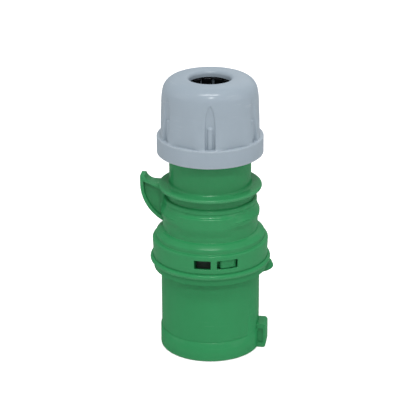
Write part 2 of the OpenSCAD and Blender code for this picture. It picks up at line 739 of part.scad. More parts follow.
// The gland nut: six drafted flats, a flute at each corner, a dome and a rounded cable entry
module nut_outline() {
    // The wall leans in by one curve, and a tighter one tangent to it turns into the top
    lean_x = nut_top_r - dome_lean_r;
    edge_z = nut_top_z - dome_r;
    rise = edge_z - dome_z;
    edge_x = lean_x + sqrt(pow(dome_lean_r - dome_r, 2) - rise * rise);
    tangent_z = dome_z + rise * dome_lean_r / (dome_lean_r - dome_r);
    polygon([[0, nut_rim_z], [nut_corner_r, nut_rim_z], [nut_top_r, dome_z], [0, dome_z]]);
    intersection() {
        translate([lean_x, dome_z]) circle(dome_lean_r, $fn = 160);
        translate([0, dome_z - eps]) square([nut_top_r, tangent_z - dome_z + eps]);
    }
    translate([edge_x, edge_z]) circle(dome_r, $fn = 128);
    translate([0, dome_z]) square([edge_x, dome_h]);
}
module nut_inside() {
    pocket_r = nut_bore_r - 0.3;
    round_x = entry_r + entry_round;
    round_z = nut_top_z - entry_round;
    // Thread bore, cone over the fingers, relief behind the cone's skirt, and the rounded entry
    translate([0, nut_z - eps]) square([nut_bore_r, cone_low_z - nut_z + eps]);
    polygon([[0, cone_low_z - eps], [cone_low_r, cone_low_z - eps], [cone_low_r, cone_low_z],
        [cone_top_r, cone_top_z], [cone_top_r, throat_z], [0, throat_z]]);
    polygon([
        [cone_low_r + cone_skirt, cone_low_z - eps], [pocket_r, cone_low_z - eps],
        [pocket_r, cone_top_z - 4], [pocket_r - 2, cone_top_z - 0.6],
        [cone_top_r + cone_skirt + 0.6, cone_top_z - 0.6]
    ]);
    translate([0, throat_z - eps]) square([entry_r, nut_h]);
    difference() {
        translate([0, round_z]) square([round_x, nut_h]);
        translate([round_x, round_z]) circle(entry_round, $fn = 64);
    }
}
module nut_flange_outline() {
    edge = 0.5;
    translate([0, nut_z]) square([nut_flange_r - edge, nut_flange_h - edge]);
    translate([0, nut_z + edge]) square([nut_flange_r, nut_flange_h - 2 * edge]);
    for (z = [nut_z + edge, nut_rim_z - edge]) translate([nut_flange_r - edge, z]) circle(edge, $fn = 40);
    polygon([
        [0, nut_rim_z - 2 * edge], [nut_flange_r - edge, nut_rim_z - 2 * edge],
        [nut_flange_r - edge, nut_rim_z], [flute_floor, nut_wall_z], [0, nut_wall_z]
    ]);
}
// A flute's outline seen from outside: upright sides and a pointed arch
module flute_outline() {
    half = flute_w / 2;
    arch_r = (half * half + flute_arch_h * flute_arch_h) / flute_w;
    spring_z = nut_rim_z + flute_h - flute_arch_h;
    translate([-half, nut_rim_z - 1]) square([flute_w, spring_z - nut_rim_z + 1]);
    intersection() {
        translate([half - arch_r, spring_z]) circle(arch_r, $fn = 160);
        translate([arch_r - half, spring_z]) circle(arch_r, $fn = 160);
        translate([-half, spring_z - eps]) square([flute_w, flute_arch_h + 1]);
    }
}
module gland_nut() {
    half = flute_rib_w / 2;
    rib_r = (half * half + flute_rib_proud * flute_rib_proud) / (2 * flute_rib_proud);
    rib_x = flute_floor + flute_rib_proud - rib_r;
    rib_top = nut_rim_z + flute_rib_h - half;
    color("#9ba5ae") rotate([0, 0, flute_turn]) difference() {
        union() {
            difference() {
                intersection() {
                    rotate_extrude() nut_outline();
                    translate([0, 0, nut_rim_z - 1])
                        cylinder(h = nut_h, r = nut_flats / 2 / cos(180 / flutes), $fn = flutes);
                }
                for (i = [0 : flutes - 1]) rotate([0, 0, i * 360 / flutes]) translate([flute_floor, 0, 0])
                    rotate([90, 0, 90]) linear_extrude(nut_corner_r) flute_outline();
            }
            rotate_extrude() nut_flange_outline();
            for (i = [0 : flutes - 1]) rotate([0, 0, i * 360 / flutes]) translate([rib_x, 0, 0]) {
                translate([0, 0, nut_rim_z - 1]) cylinder(h = rib_top - nut_rim_z + 1, r = rib_r, $fn = 48);
                translate([0, 0, rib_top]) sphere(r = rib_r, $fn = 48);
            }
        }
        rotate_extrude() nut_inside();
    }
}

gland_nut();
clamp_cage();
cable_seal();
rear_housing();
housing_gasket();
front_sleeve();
pin_carrier();
line_pin();
neutral_pin();
earth_pin();
terminal_screws();
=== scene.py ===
import math

import bmesh
import bpy
from bpy.props import FloatProperty, FloatVectorProperty, IntProperty, PointerProperty
from mathutils import Matrix, Quaternion, Vector


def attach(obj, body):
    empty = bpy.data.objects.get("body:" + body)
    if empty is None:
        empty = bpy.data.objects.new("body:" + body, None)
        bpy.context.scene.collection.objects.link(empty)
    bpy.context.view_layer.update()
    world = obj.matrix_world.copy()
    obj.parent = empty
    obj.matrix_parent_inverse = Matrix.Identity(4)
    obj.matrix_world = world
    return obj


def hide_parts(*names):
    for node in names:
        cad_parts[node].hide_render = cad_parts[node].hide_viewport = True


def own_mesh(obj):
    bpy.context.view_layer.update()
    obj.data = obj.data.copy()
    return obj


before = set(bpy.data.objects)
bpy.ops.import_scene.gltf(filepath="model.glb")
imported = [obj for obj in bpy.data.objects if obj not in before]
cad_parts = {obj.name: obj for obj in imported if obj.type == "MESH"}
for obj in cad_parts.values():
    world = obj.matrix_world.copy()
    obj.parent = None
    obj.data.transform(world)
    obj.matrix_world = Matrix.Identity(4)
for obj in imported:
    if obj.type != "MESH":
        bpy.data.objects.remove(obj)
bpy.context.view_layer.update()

bl_info = {
    "name": "Pin and sleeve plug",
    "version": (1, 0, 0),
    "blender": (4, 5, 0),
    "location": "View3D > Sidebar > Plug",
    "description": "Builds the visible pieces of a round pin-and-sleeve plug round its CAD frame",
    "category": "Object",
}

MM = 0.001
SHARP = math.radians(40)  # faces that meet at a larger angle than this keep a sharp edge


# Small helpers

def size(name, about, mm):
    """A length property, given in millimetres"""
    return FloatProperty(name=name, description=about, default=mm * MM, unit="LENGTH",
                         subtype="DISTANCE", precision=5)


def turn(name, about, degrees):
    """An angle property, given in degrees"""
    return FloatProperty(name=name, description=about, default=math.radians(degrees),
                         unit="ROTATION", subtype="ANGLE")


def power(name, about, watts):
    """A lamp's power property"""
    return FloatProperty(name=name, description=about, default=watts, unit="POWER")


def linear(red, green, blue):
    """A screen colour from 0 to 255 as linear light"""
    def one(value):
        value /= 255
        return value / 12.92 if value <= 0.04045 else ((value + 0.055) / 1.055) ** 2.4
    return (one(red), one(green), one(blue))


def tint(name, about, red, green, blue):
    """A colour property, given as a screen colour"""
    return FloatVectorProperty(name=name, description=about, subtype="COLOR", size=3, min=0, max=1,
                               default=linear(red, green, blue))


# Settings

class PlugNutSizes(bpy.types.PropertyGroup):
    """Sizes of the gland nut"""
    bottom: size("Bottom", "Height of the flange's lower face", 88.8)
    flange_radius: size("Flange radius", "Radius of the flange", 22.65)
    flange_height: size("Flange height", "Height of the flange", 7.7)
    half_flats: size("Half across flats", "Distance from the axis to a flat", 20.8)
    corner_radius: size("Corner radius", "Radius at the corners just above the flange", 21.7)
    top_radius: size("Top radius", "Radius under the dome", 20.6)
    dome_height: size("Dome height", "Height over which the wall leans in to the top", 12.0)
    lean_radius: size("Lean radius", "Radius of the soft curve by which the wall leans in", 40)
    dome_radius: size("Dome radius", "Radius of the tighter curve at the top", 6.2)
    top: size("Top", "Height of the nut's end", 121.6)
    throat_radius: size("Throat radius", "Radius of the cable entry", 8.7)
    throat_round: size("Throat rounding", "Radius of the entry's rounded mouth", 1.6)
    throat_wall: size("Throat wall", "Length of the straight stretch of the entry", 1.0)
    cone_wall: size("Cone wall", "How far the cone's end stands back from the entry", 1.7)
    cone_gap: size("Cone gap", "Distance from the cone's end to the entry's wall", 0.6)
    cone_radius: size("Cone radius", "Radius of the cone's foot", 14.2)
    cone_foot: size("Cone foot", "Distance from the neck's end to the cone's foot", 3.5)
    crease: size("Crease", "Softness of the creases between the flats and corners", 0.5)
    flute_width: size("Flute width", "Width of a flute", 4.1)
    flute_height: size("Flute height", "Height of a flute above the flange", 19.2)
    flute_arch: size("Flute arch", "Height of the flute's pointed end", 8.2)
    flute_floor: size("Flute floor", "Distance from the axis to a flute's floor", 19.9)
    rib_width: size("Rib width", "Width of the half-round rib inside a flute", 2.8)
    rib_height: size("Rib height", "Height of that rib above the flange", 10.3)
    rib_proud: size("Rib depth", "How far that rib stands out from the flute's floor", 0.8)
    flute_turn: turn("Flute turn", "Angle of the first flute", -82)
    bore_radius: size("Bore radius", "Radius of the bore over the neck's thread", 17.8)


class PlugHousingSizes(bpy.types.PropertyGroup):
    """Sizes of the rear housing"""
    joint: size("Joint", "Height of the skirt's lower edge", 42.7)
    skirt_radius: size("Skirt radius", "Radius of the bayonet skirt", 24.95)
    skirt_top: size("Skirt top", "Height of the skirt's upper edge", 50.9)
    shoulder_top: size("Shoulder top", "Height of the shoulder's upper end", 54.75)
    shoulder_edge: size("Shoulder edge", "Height of the shoulder's rounded lower edge", 52.8)
    body_radius: size("Body radius", "Radius of the plain body", 20.45)
    ring_radius: size("Ring radius", "Radius of the broad ring", 21.25)
    ring_low: size("Ring foot", "Height of the broad ring's lower edge", 59.6)
    ring_height: size("Ring height", "Height of the broad ring, with its slopes", 6.3)
    ring_slope: size("Ring slope", "Height of the slope above the ring's crest", 2.6)
    ring_swell: size("Ring swell", "Height of the swell below the ring", 1.8)
    waist_radius: size("Waist radius", "Radius above the broad ring", 20.05)
    line_height: size("Line height", "Height of the fine groove above the pad", 67.1)
    groove_height: size("Groove height", "Height of the groove under the disc", 3.7)
    groove_radius: size("Groove radius", "Radius of the groove under the disc", 18.7)
    disc_low: size("Disc foot", "Height of the disc's lower face", 73.1)
    disc_radius: size("Disc radius", "Radius of the disc", 22.1)
    disc_thickness: size("Disc thickness", "Thickness of the disc", 1.7)
    neck_radius: size("Neck radius", "Radius of the neck", 17.5)
    neck_top: size("Neck top", "Height of the neck's end", 106.3)
    pad_top: size("Pad top", "Height of the bare pad's upper edge", 65.9)
    pad_width: size("Pad width", "Width of the bare pad in front", 23)
    pad_height: size("Pad height", "Height of the bare pad", 9.9)
    pad_fade: size("Pad run-out", "Height over which the pad runs out into the body", 5.5)
    window_angle: turn("Window angle", "Width of the plain window, as an angle", 16.5)
    latch_angle: turn("Latch window angle", "Width of the latch's window, as an angle", 21.4)
    window_turn: turn("Window turn", "Angle of the plain window's middle", -90)
    latch_turn: turn("Latch turn", "Angle of the latch window's middle", -64.9)
    window_low: size("Window foot", "Height of the windows' lower edge", 44.6)
    window_height: size("Window height", "Height of the windows", 3.9)
    window_lip: size("Window lip", "Thickness of the skirt's wall at the windows", 0.9)
    window_rebate: size("Window rebate", "How far the rebate reaches past a window", 1.1)
    window_corner: size("Window corner", "Radius of a window's corners", 0.35)
    window_edge: size("Window edge", "Size of the softened edge round a window", 0.22)


class PlugHookSizes(bpy.types.PropertyGroup):
    """Sizes of the finger hook"""
    width: size("Hook width", "Width of the hook's rim", 5.8)
    web: size("Web", "Thickness of the web between the hollows", 2.2)
    rim: size("Rim", "Thickness of the hook's outer rim", 1.5)
    radius: size("Hook radius", "Radius of the hook's outer curve", 19.3)
    reach: size("Hook reach", "Distance from the axis to the hook's back", 30)
    tip: size("Tip", "Height of the hook's tip above the disc", 2.6)
    curl: size("Curl radius", "Radius of the curl for the finger", 4.4)
    corner: size("Corner", "Radius of the hook's softened edges", 0.3)
    fillet: size("Fillet", "Radius of the fillet between the hook and the body", 1.0)


class PlugSleeveSizes(bpy.types.PropertyGroup):
    """Sizes of the front sleeve's key and lip"""
    key_reach: size("Key reach", "Distance from the axis to the key's outer face", 24.9)
    key_height: size("Key height", "Height of the key's upper end", 11.0)
    key_corner: size("Key corner", "Radius of the key's outer corners in the CAD part", 0.8)
    key_round: size("Key rounding", "Radius of the key's outer corners in the picture", 1.3)
    lip_inside: size("Lip inside", "Radius from which the collar belongs to its lip", 23.0)
    lip_low: size("Lip low", "Height below the collar's lip", 39.2)
    lip_high: size("Lip high", "Height above the collar's lip", 41.75)
    lip_lift: size("Lip lift", "How far the lip is moved up", 0.6)
    band_top: size("Band top", "Height of the upper end of the slope over the band", 9.1)
    band_step: size("Band step", "How far that end is moved down, for a crisper step", 0.28)


class PlugCageSizes(bpy.types.PropertyGroup):
    """Sizes of the clamp cage"""
    fingers: IntProperty(name="Fingers", description="Number of sprung fingers", default=12, min=3)
    bottom: size("Cage foot", "Height of the cage's base", 98.3)
    radius: size("Cage radius", "Radius of the base ring", 15.0)
    gap: size("Finger gap", "Gap between two fingers", 1.3)
    wall: size("Cage wall", "Wall of the base ring", 2.2)
    ring: size("Cage ring", "Height of the base ring", 3.5)
    finger: size("Finger thickness", "Thickness of a finger", 1.6)
    key_count: IntProperty(name="Keys", description="Number of keys and keyways", default=4, min=1)
    first_key: turn("First key", "Angle of the first key", 45)
    key_width: size("Key width", "Width of the keys on the base ring", 2.4)
    key_proud: size("Key depth", "How far the keys stand out", 0.9)


class PlugInnerSizes(bpy.types.PropertyGroup):
    """Sizes of the seal, the terminals and their screws"""
    seal_low: size("Seal foot", "Height of the cable seal's lower face", 88.3)
    seal_high: size("Seal top", "Height of the cable seal's upper face", 98.3)
    seal_radius: size("Seal radius", "Outer radius of the cable seal", 15.0)
    seal_bore: size("Seal bore", "Radius of the cable seal's bore", 6.5)
    pin_circle: size("Pin circle", "Radius of the circle that the pins stand on", 9.25)
    screw_height: size("Screw height", "Height of the terminal screws", 57.5)
    screw_tip: size("Screw tip", "Distance from the pin's middle to the screw's tip", 1.1)
    screw_neck: size("Screw neck", "Distance from the pin's middle to the head", 4.8)
    screw_radius: size("Screw radius", "Radius of the screw's shank", 2.0)
    head_radius: size("Head radius", "Radius of the screw's head", 3.2)
    head_height: size("Head height", "Height of the screw's head", 2.2)
    first_pin: turn("First pin", "Angle from the key to the earth pin", 120)
    poles: IntProperty(name="Poles", description="Number of pins", default=3, min=2)


class PlugFinishes(bpy.types.PropertyGroup):
    """Colours of the plug's mouldings and metal"""
    green: tint("Housing green", "Colour of the housing's polyamide", 47, 132, 82)
    green_deep: tint("Deep green", "Darker tone of the housing's polyamide", 40, 122, 73)
    grey: tint("Nut grey", "Colour of the nut's polyamide", 145, 157, 167)
    grey_deep: tint("Deep grey", "Darker tone of the nut's polyamide", 136, 148, 158)
    black: tint("Cage black", "Colour of the clamp cage", 26, 28, 31)
    charcoal: tint("Insert charcoal", "Colour of the pin carrier", 106, 116, 111)
    rubber: tint("Seal rubber", "Colour of the seal and the gasket", 34, 35, 37)
    brass: tint("Contact brass", "Colour of the turned contacts", 201, 166, 92)
    zinc: tint("Screw zinc", "Colour of the plated screws", 190, 192, 194)


class PlugStageSizes(bpy.types.PropertyGroup):
    """Camera and lights"""
    aim: size("Aim height", "Height of the point that the camera looks at", 61.9)
    distance: size("Camera distance", "Distance from that point to the camera", 717.7)
    azimuth: turn("Camera azimuth", "Direction of the camera from the plug", -82)
    elevation: turn("Camera elevation", "Height of the camera above the horizon", 21.9)
    roll: FloatProperty(name="Camera roll", description="Roll of the camera", default=-0.002,
                        unit="ROTATION", subtype="ANGLE")
    lens: FloatProperty(name="Lens", description="Focal length of the camera", default=143.1,
                        unit="CAMERA")
    shift: FloatProperty(name="Shift", description="Sideways shift of the picture", default=-0.0007)
    key_azimuth: turn("Key azimuth", "Direction of the key light from the plug", -79)
    key_elevation: turn("Key elevation", "Height of the key light above the horizon", 46)
    key_distance: size("Key distance", "Distance of the key light from the aim", 1300)
    key_power: power("Key power", "Power of the key light", 4.2)
    top_power: power("Top power", "Power of the light overhead", 8.5)
    fill_power: power("Fill power", "Power of the back light; the side lights have a share", 2.0)
    sky: FloatProperty(name="Sky", description="Strength of the light from all round", default=0.5,
                       min=0, max=1, subtype="FACTOR")


GROUPS = {
    "plug_nut": PlugNutSizes,
    "plug_housing": PlugHousingSizes,
    "plug_hook": PlugHookSizes,
    "plug_sleeve": PlugSleeveSizes,
    "plug_cage": PlugCageSizes,
    "plug_inner": PlugInnerSizes,
    "plug_finish": PlugFinishes,
    "plug_stage": PlugStageSizes,
}


# Mesh helpers

def soften(corners, arc_step=0.26):
    """A closed outline of (radius, height, rounding) corners as fine points, with round corners"""
    points = []
    nearly_straight = math.pi - 0.03
    for i, (r, z, rounding) in enumerate(corners):
        corner = Vector((r, z))
        before, after = corners[i - 1], corners[(i + 1) % len(corners)]
        back, ahead = Vector(before[:2]) - corner, Vector(after[:2]) - corner
        angle = back.angle(ahead)
        if rounding <= 0 or angle > nearly_straight:
            points.append(corner)
            continue
        # Two neighbouring corners share the edge between them
        back_room = 0.99 * back.length * rounding / (rounding + before[2])
        ahead_room = 0.99 * ahead.length * rounding / (rounding + after[2])
        cut = min(rounding / math.tan(angle / 2), back_room, ahead_room)
        radius = cut * math.tan(angle / 2)
        back.normalize()
        ahead.normalize()
        middle = corner + (back + ahead).normalized() * radius / math.sin(angle / 2)
        first = corner + back * cut - middle
        last = corner + ahead * cut - middle
        sweep = first.angle_signed(last)
        steps = max(2, math.ceil(abs(sweep) / arc_step))
        for k in range(steps + 1):
            points.append(middle + Matrix.Rotation(-sweep * k / steps, 2) @ first)
    return points


def refine(points, low, high, step):
    """Adds points to a closed outline between two heights, so that no step is longer there"""
    fine = []
    for i, point in enumerate(points):
        after = points[(i + 1) % len(points)]
        fine.append(point)
        inside = min(point.y, after.y) >= low - 1e-6 and max(point.y, after.y) <= high + 1e-6
        parts = math.ceil((after - point).length / step) if inside else 1
        for k in range(1, parts):
            fine.append(point.lerp(after, k / parts))
    return fine


def add_mesh(name, verts, faces):
    """A new mesh object in the scene"""
    mesh = bpy.data.meshes.new(name)
    mesh.from_pydata(verts, [], faces)
    mesh.update()
    piece = bpy.data.objects.new(name, mesh)
    bpy.context.scene.collection.objects.link(piece)
    return piece


def even_angles(count):
    """Angles spread evenly over a full turn"""
    return [2 * math.pi * j / count for j in range(count)]


def skin(rows, count, closed=False):
    """Faces between rows of count points; a tube gets end caps, a closed ring of rows none"""
    last = (rows - 1) * count
    caps = [tuple(range(count)), tuple(last + i for i in reversed(range(count)))]
    faces = [] if closed else caps
    for k in range(rows if closed else rows - 1):
        here, there = k * count, (k + 1) % rows * count
        for i in range(count):
            n = (i + 1) % count
            faces.append((here + i, there + i, there + n, here + n))
    return faces


def lathe(name, outline, angles, shape=None):
    """Turns a closed outline of (radius, height) round the axis; shape(angle, r, z) may change r"""
    verts = []
    for angle in angles:
        c, s = math.cos(angle), math.sin(angle)
        for r, z in outline:
            radius = shape(angle, r, z) if shape else r
            verts.append((radius * c, radius * s, z))
    return add_mesh(name, verts, skin(len(angles), len(outline), closed=True))


def tube(name, verts, rows):
    """A closed mesh over rows of points, each row a loop"""
    piece = add_mesh(name, verts, skin(rows, len(verts) // rows))
    straighten(piece)
    return piece


def prism(name, outline, low, high):
    """A straight block over a flat outline of (x, z) points, from low to high along Y"""
    return tube(name, [(x, y, z) for y in (low, high) for x, z in outline], 2)


def block(name, left, right, foot, top, low, high):
    """A straight box: left to right along X, foot to top along Z and low to high along Y"""
    return prism(name, [(left, foot), (right, foot), (right, top), (left, top)], low, high)


def sector(name, inner, outer, low, high, middle, angle):
    """A closed stretch of a square ring, used to cut windows"""
    verts, steps = [], 24
    for k in range(steps + 1):
        a = middle - angle / 2 + angle * k / steps
        for r, z in ((inner, low), (outer, low), (outer, high), (inner, high)):
            verts.append((r * math.cos(a), r * math.sin(a), z))
    return tube(name, verts, steps + 1)


def opening(name, middle, half, low, high, corner, radius, levels):
    """A closed cutter for a window in a round wall; levels are (distance from the axis, growth)"""
    centre, flat, arc = (low + high) / 2, 20, 5
    side, rise = half - corner, (high - low) / 2 - corner
    quarter = math.pi / 2
    way = [(-side + 2 * side * k / flat, -rise, -quarter) for k in range(flat + 1)]
    way += [(side, -rise, -quarter + quarter * k / arc) for k in range(1, arc + 1)]
    way += [(side, rise, quarter * k / arc) for k in range(arc)]
    loop = way + [(-x, -y, a + math.pi) for x, y, a in way]
    verts = []
    for r, grow in levels:
        for x, y, a in loop:
            turned = middle + (x + (corner + grow) * math.cos(a)) / radius
            height = centre + y + (corner + grow) * math.sin(a)
            verts.append((r * math.cos(turned), r * math.sin(turned), height))
    return tube(name, verts, len(levels))


def straighten(piece):
    """Points a closed mesh's faces outwards"""
    mesh = bmesh.new()
    mesh.from_mesh(piece.data)
    bmesh.ops.recalc_face_normals(mesh, faces=mesh.faces)
    mesh.to_mesh(piece.data)
    mesh.free()


def settle(piece):
    """Makes a piece's modifiers part of its mesh"""
    bpy.context.view_layer.update()
    shown = piece.evaluated_get(bpy.context.evaluated_depsgraph_get())
    result = bpy.data.meshes.new_from_object(shown)
    old = piece.data
    piece.modifiers.clear()
    piece.data = result
    result.name = piece.name
    bpy.data.meshes.remove(old)


def cut_out(piece, tools):
    """Cuts the tools out of a piece, and removes them"""
    for tool in tools:
        change = piece.modifiers.new("cut", "BOOLEAN")
        change.operation = "DIFFERENCE"
        change.solver = "EXACT"
        change.object = tool
    settle(piece)
    for tool in tools:
        bpy.data.objects.remove(tool)


def round_edges(piece, width):
    """Rounds a piece's sharp edges"""
    change = piece.modifiers.new("edges", "BEVEL")
    change.width = width
    change.segments = 3
    change.limit_method = "ANGLE"
    change.angle_limit = math.radians(35)
    settle(piece)


def smooth(piece, sharp=SHARP):
    """Smooth shading, with the sharp edges kept"""
    piece.data.shade_smooth()
    piece.data.set_sharp_from_angle(angle=sharp)


def paint(piece, material):
    """Gives a piece or a CAD node one material"""
    piece.data.materials.clear()
    piece.data.materials.append(material)
    for face in piece.data.polygons:
        face.material_index = 0


def ease(value):
    """A soft step from 0 to 1"""
    value = min(1, max(0, value))
    return value * value * (3 - 2 * value)


def soft_min(a, b, width):
    """The lower of two values with a rounded change between them"""
    reach = max(width - abs(a - b), 0) / width
    return min(a, b) - reach * reach * width / 4


def off_axis(angle, middle):
    """The angle from a direction, between -pi and pi"""
    return (angle - middle + math.pi) % (2 * math.pi) - math.pi


# Shared effects

def effect(name, inputs, outputs):
    """A new shader group with its named numbers in and out, its given outputs and its result"""
    group = bpy.data.node_groups.new(name, "ShaderNodeTree")
    for label, value in inputs.items():
        socket = group.interface.new_socket(label, in_out="INPUT", socket_type="NodeSocketFloat")
        socket.default_value = value
    for label in outputs:
        group.interface.new_socket(label, in_out="OUTPUT", socket_type="NodeSocketFloat")
    given = group.nodes.new("NodeGroupInput").outputs
    return group, given, group.nodes.new("NodeGroupOutput").inputs


def arithmetic(tree, operation, first, second=None, clamp=False):
    """A Math node; its inputs are sockets or plain numbers"""
    node = tree.nodes.new("ShaderNodeMath")
    node.operation = operation
    node.use_clamp = clamp
    for socket, value in zip(node.inputs, (first, second)):
        if value is None:
            continue
        if isinstance(value, (int, float)):
            socket.default_value = value
        else:
            tree.links.new(value, socket)
    return node.outputs[0]


def weighted(tree, *parts):
    """The sum of (socket, share) pairs, each socket times its share"""
    total = None
    for socket, share in parts:
        part = arithmetic(tree, "MULTIPLY", socket, share)
        total = part if total is None else arithmetic(tree, "ADD", total, part)
    return total


def product(tree, first, *others):
    """The product of masks, kept between 0 and 1"""
    for other in others:
        first = arithmetic(tree, "MULTIPLY", first, other, clamp=True)
    return first


def place(tree, stretch=(1, 1, 1)):
    """Object coordinates, stretched along the axes"""
    where = tree.nodes.new("ShaderNodeTexCoord").outputs["Object"]
    mapping = tree.nodes.new("ShaderNodeMapping")
    mapping.inputs["Scale"].default_value = stretch
    tree.links.new(where, mapping.inputs["Vector"])
    return mapping.outputs[0]


def noise(tree, where, scale, detail=2.0, rough=0.5):
    """A Noise texture's value; scale is a socket or a number"""
    node = tree.nodes.new("ShaderNodeTexNoise")
    tree.links.new(where, node.inputs["Vector"])
    if isinstance(scale, (int, float)):
        node.inputs["Scale"].default_value = scale
    else:
        tree.links.new(scale, node.inputs["Scale"])
    node.inputs["Detail"].default_value = detail
    node.inputs["Roughness"].default_value = rough
    return node.outputs["Fac"]


def band(tree, value, low, high):
    """A value stretched so that low gives 0 and high gives 1"""
    node = tree.nodes.new("ShaderNodeMapRange")
    node.clamp = True
    tree.links.new(value, node.inputs["Value"])
    node.inputs["From Min"].default_value = low
    node.inputs["From Max"].default_value = high
    return node.outputs["Result"]


def build_effects():
    """The effects that several finishes share"""
    # Spark-eroded grain: a fine, even pebble that breaks up the gloss
    group, given, result = effect("Mould grain", {"Size": 0.4 * MM}, ("Height", "Mask"))
    where = place(group)
    scale = arithmetic(group, "DIVIDE", 1.0, given["Size"])
    fine = noise(group, where, scale, 3.0, 0.62)
    broad = noise(group, where, arithmetic(group, "MULTIPLY", scale, 0.23))
    height = weighted(group, (fine, 0.75), (broad, 0.25))
    group.links.new(height, result["Height"])
    group.links.new(band(group, height, 0.35, 0.65), result["Mask"])

    # Flow marks: slow changes of tone drawn out along the axis, as the melt ran
    group, given, result = effect("Flow marks", {"Size": 20 * MM, "Contrast": 0.5}, ("Tone",))
    scale = arithmetic(group, "DIVIDE", 1.0, given["Size"])
    drawn = noise(group, place(group, (1, 1, 0.35)), scale, 3.0, 0.55)
    cloud = noise(group, place(group), arithmetic(group, "MULTIPLY", scale, 3.1))
    centred = arithmetic(group, "SUBTRACT", weighted(group, (drawn, 0.7), (cloud, 0.3)), 0.5)
    spread = arithmetic(group, "MULTIPLY", centred, given["Contrast"])
    group.links.new(arithmetic(group, "ADD", spread, 0.5, clamp=True), result["Tone"])

    # Handling scuffs: short rubs in patches, mostly round the plug
    group, given, result = effect("Handling scuffs", {"Size": 4 * MM, "Amount": 0.3}, ("Mask",))
    scale = arithmetic(group, "DIVIDE", 1.0, given["Size"])
    streak = noise(group, place(group, (0.5, 0.5, 7.0)), scale, 4.0, 0.7)
    patch = noise(group, place(group), arithmetic(group, "MULTIPLY", scale, 0.3))
    rub, zone = band(group, streak, 0.6, 0.72), band(group, patch, 0.5, 0.66)
    group.links.new(product(group, rub, zone, given["Amount"]), result["Mask"])

    # Painted rim highlight: edges painted paler round one height, broken up by a ragged noise
    group, given, result = effect("Painted rim highlight", {"Level": 0.0, "Reach": 2 * MM, "Amount": 0.4},
                                  ("Mask",))
    split = group.nodes.new("ShaderNodeSeparateXYZ")
    group.links.new(group.nodes.new("ShaderNodeTexCoord").outputs["Object"], split.inputs[0])
    off = arithmetic(group, "SUBTRACT", split.outputs["Z"], given["Level"])
    away = arithmetic(group, "DIVIDE", arithmetic(group, "ABSOLUTE", off), given["Reach"])
    near = arithmetic(group, "SUBTRACT", 1.0, away, clamp=True)
    ragged = band(group, noise(group, place(group), 1600.0, 4.0, 0.7), 0.3, 0.7)
    group.links.new(product(group, near, ragged, given["Amount"]), result["Mask"])


class Finish:
    """A material under construction: its tree and its Principled shader"""

    def __init__(self, name, roughness, metallic=0.0, **plain):
        self.material = bpy.data.materials.new(name)
        self.material.use_nodes = True
        self.tree = self.material.node_tree
        self.shader = self.tree.nodes["Principled BSDF"]
        self.shader.inputs["Metallic"].default_value = metallic
        self.roughness = roughness
        for label, value in plain.items():
            self.shader.inputs[label.replace("_", " ")].default_value = value

    def use(self, group, **values):
        """Places a shared effect with its own values, and returns its outputs"""
        node = self.tree.nodes.new("ShaderNodeGroup")
        node.node_tree = bpy.data.node_groups[group]
        for label, value in values.items():
            node.inputs[label].default_value = value
        return node.outputs

    def mix(self, factor, first, second):
        """Mixes two colours or colour sockets"""
        node = self.tree.nodes.new("ShaderNodeMix")
        node.data_type = "RGBA"
        self.tree.links.new(factor, node.inputs["Factor"])
        for label, value in (("A", first), ("B", second)):
            socket = next(s for s in node.inputs if s.name == label and s.type == "RGBA")
            if hasattr(value, "links"):
                self.tree.links.new(value, socket)
            else:
                socket.default_value = (*value[:3], 1)
        return next(s for s in node.outputs if s.type == "RGBA")

    def colour(self, socket):
        """Links the base colour"""
        self.tree.links.new(socket, self.shader.inputs["Base Color"])

    def rough(self, *parts):
        """Roughness: the plain value, plus each (socket, amount)"""
        added = weighted(self.tree, *parts)
        total = arithmetic(self.tree, "ADD", added, self.roughness, clamp=True)
        self.tree.links.new(total, self.shader.inputs["Roughness"])

    def bump(self, height, distance, strength):
        """Relief from a height, as deep as the distance"""
        node = self.tree.nodes.new("ShaderNodeBump")
        node.inputs["Distance"].default_value = distance
        node.inputs["Strength"].default_value = strength
        self.tree.links.new(height, node.inputs["Height"])
        self.tree.links.new(node.outputs[0], self.shader.inputs["Normal"])


def moulded(name, colour, deep, rubbed_and_highlight, roughness, grain, depth, highlit_rims=(), coat=0.08):
    """Moulded plastic: flow marks, spark-eroded grain, handling scuffs, and painted highlights
    where the rims at (level, reach) heights are painted paler.
    The thin coat of a high index gives its highlights without a pale veil at the edges"""
    finish = Finish(name, roughness, IOR=1.5, Specular_IOR_Level=0.0, Coat_Weight=coat,
                    Coat_IOR=2.0, Coat_Roughness=0.2)
    pebble = finish.use("Mould grain", Size=grain)
    flow = finish.use("Flow marks", Size=16 * MM, Contrast=0.9)
    scuff = finish.use("Handling scuffs", Size=6 * MM, Amount=0.14)
    tone = finish.mix(flow["Tone"], deep, colour)
    tone = finish.mix(scuff["Mask"], tone, rubbed_and_highlight)
    # Each listed rim height is painted paler: a painted highlight along that edge
    for level, reach in highlit_rims:
        rim = finish.use("Painted rim highlight", Level=level, Reach=reach, Amount=0.22)
        tone = finish.mix(rim["Mask"], tone, rubbed_and_highlight)
    finish.colour(tone)
    finish.rough((pebble["Mask"], 0.1), (scuff["Mask"], 0.25))
    finish.bump(pebble["Height"], depth, 0.6)
    return finish.material


def rubbery(name, colour, deep):
    """Matt rubber with a bloom of dust"""
    finish = Finish(name, 0.62, IOR=1.5)
    pebble = finish.use("Mould grain", Size=0.7 * MM)
    flow = finish.use("Flow marks", Size=8 * MM, Contrast=1.4)
    finish.colour(finish.mix(flow["Tone"], deep, colour))
    finish.rough((pebble["Mask"], 0.14))
    finish.bump(pebble["Height"], 0.06 * MM, 0.7)
    return finish.material


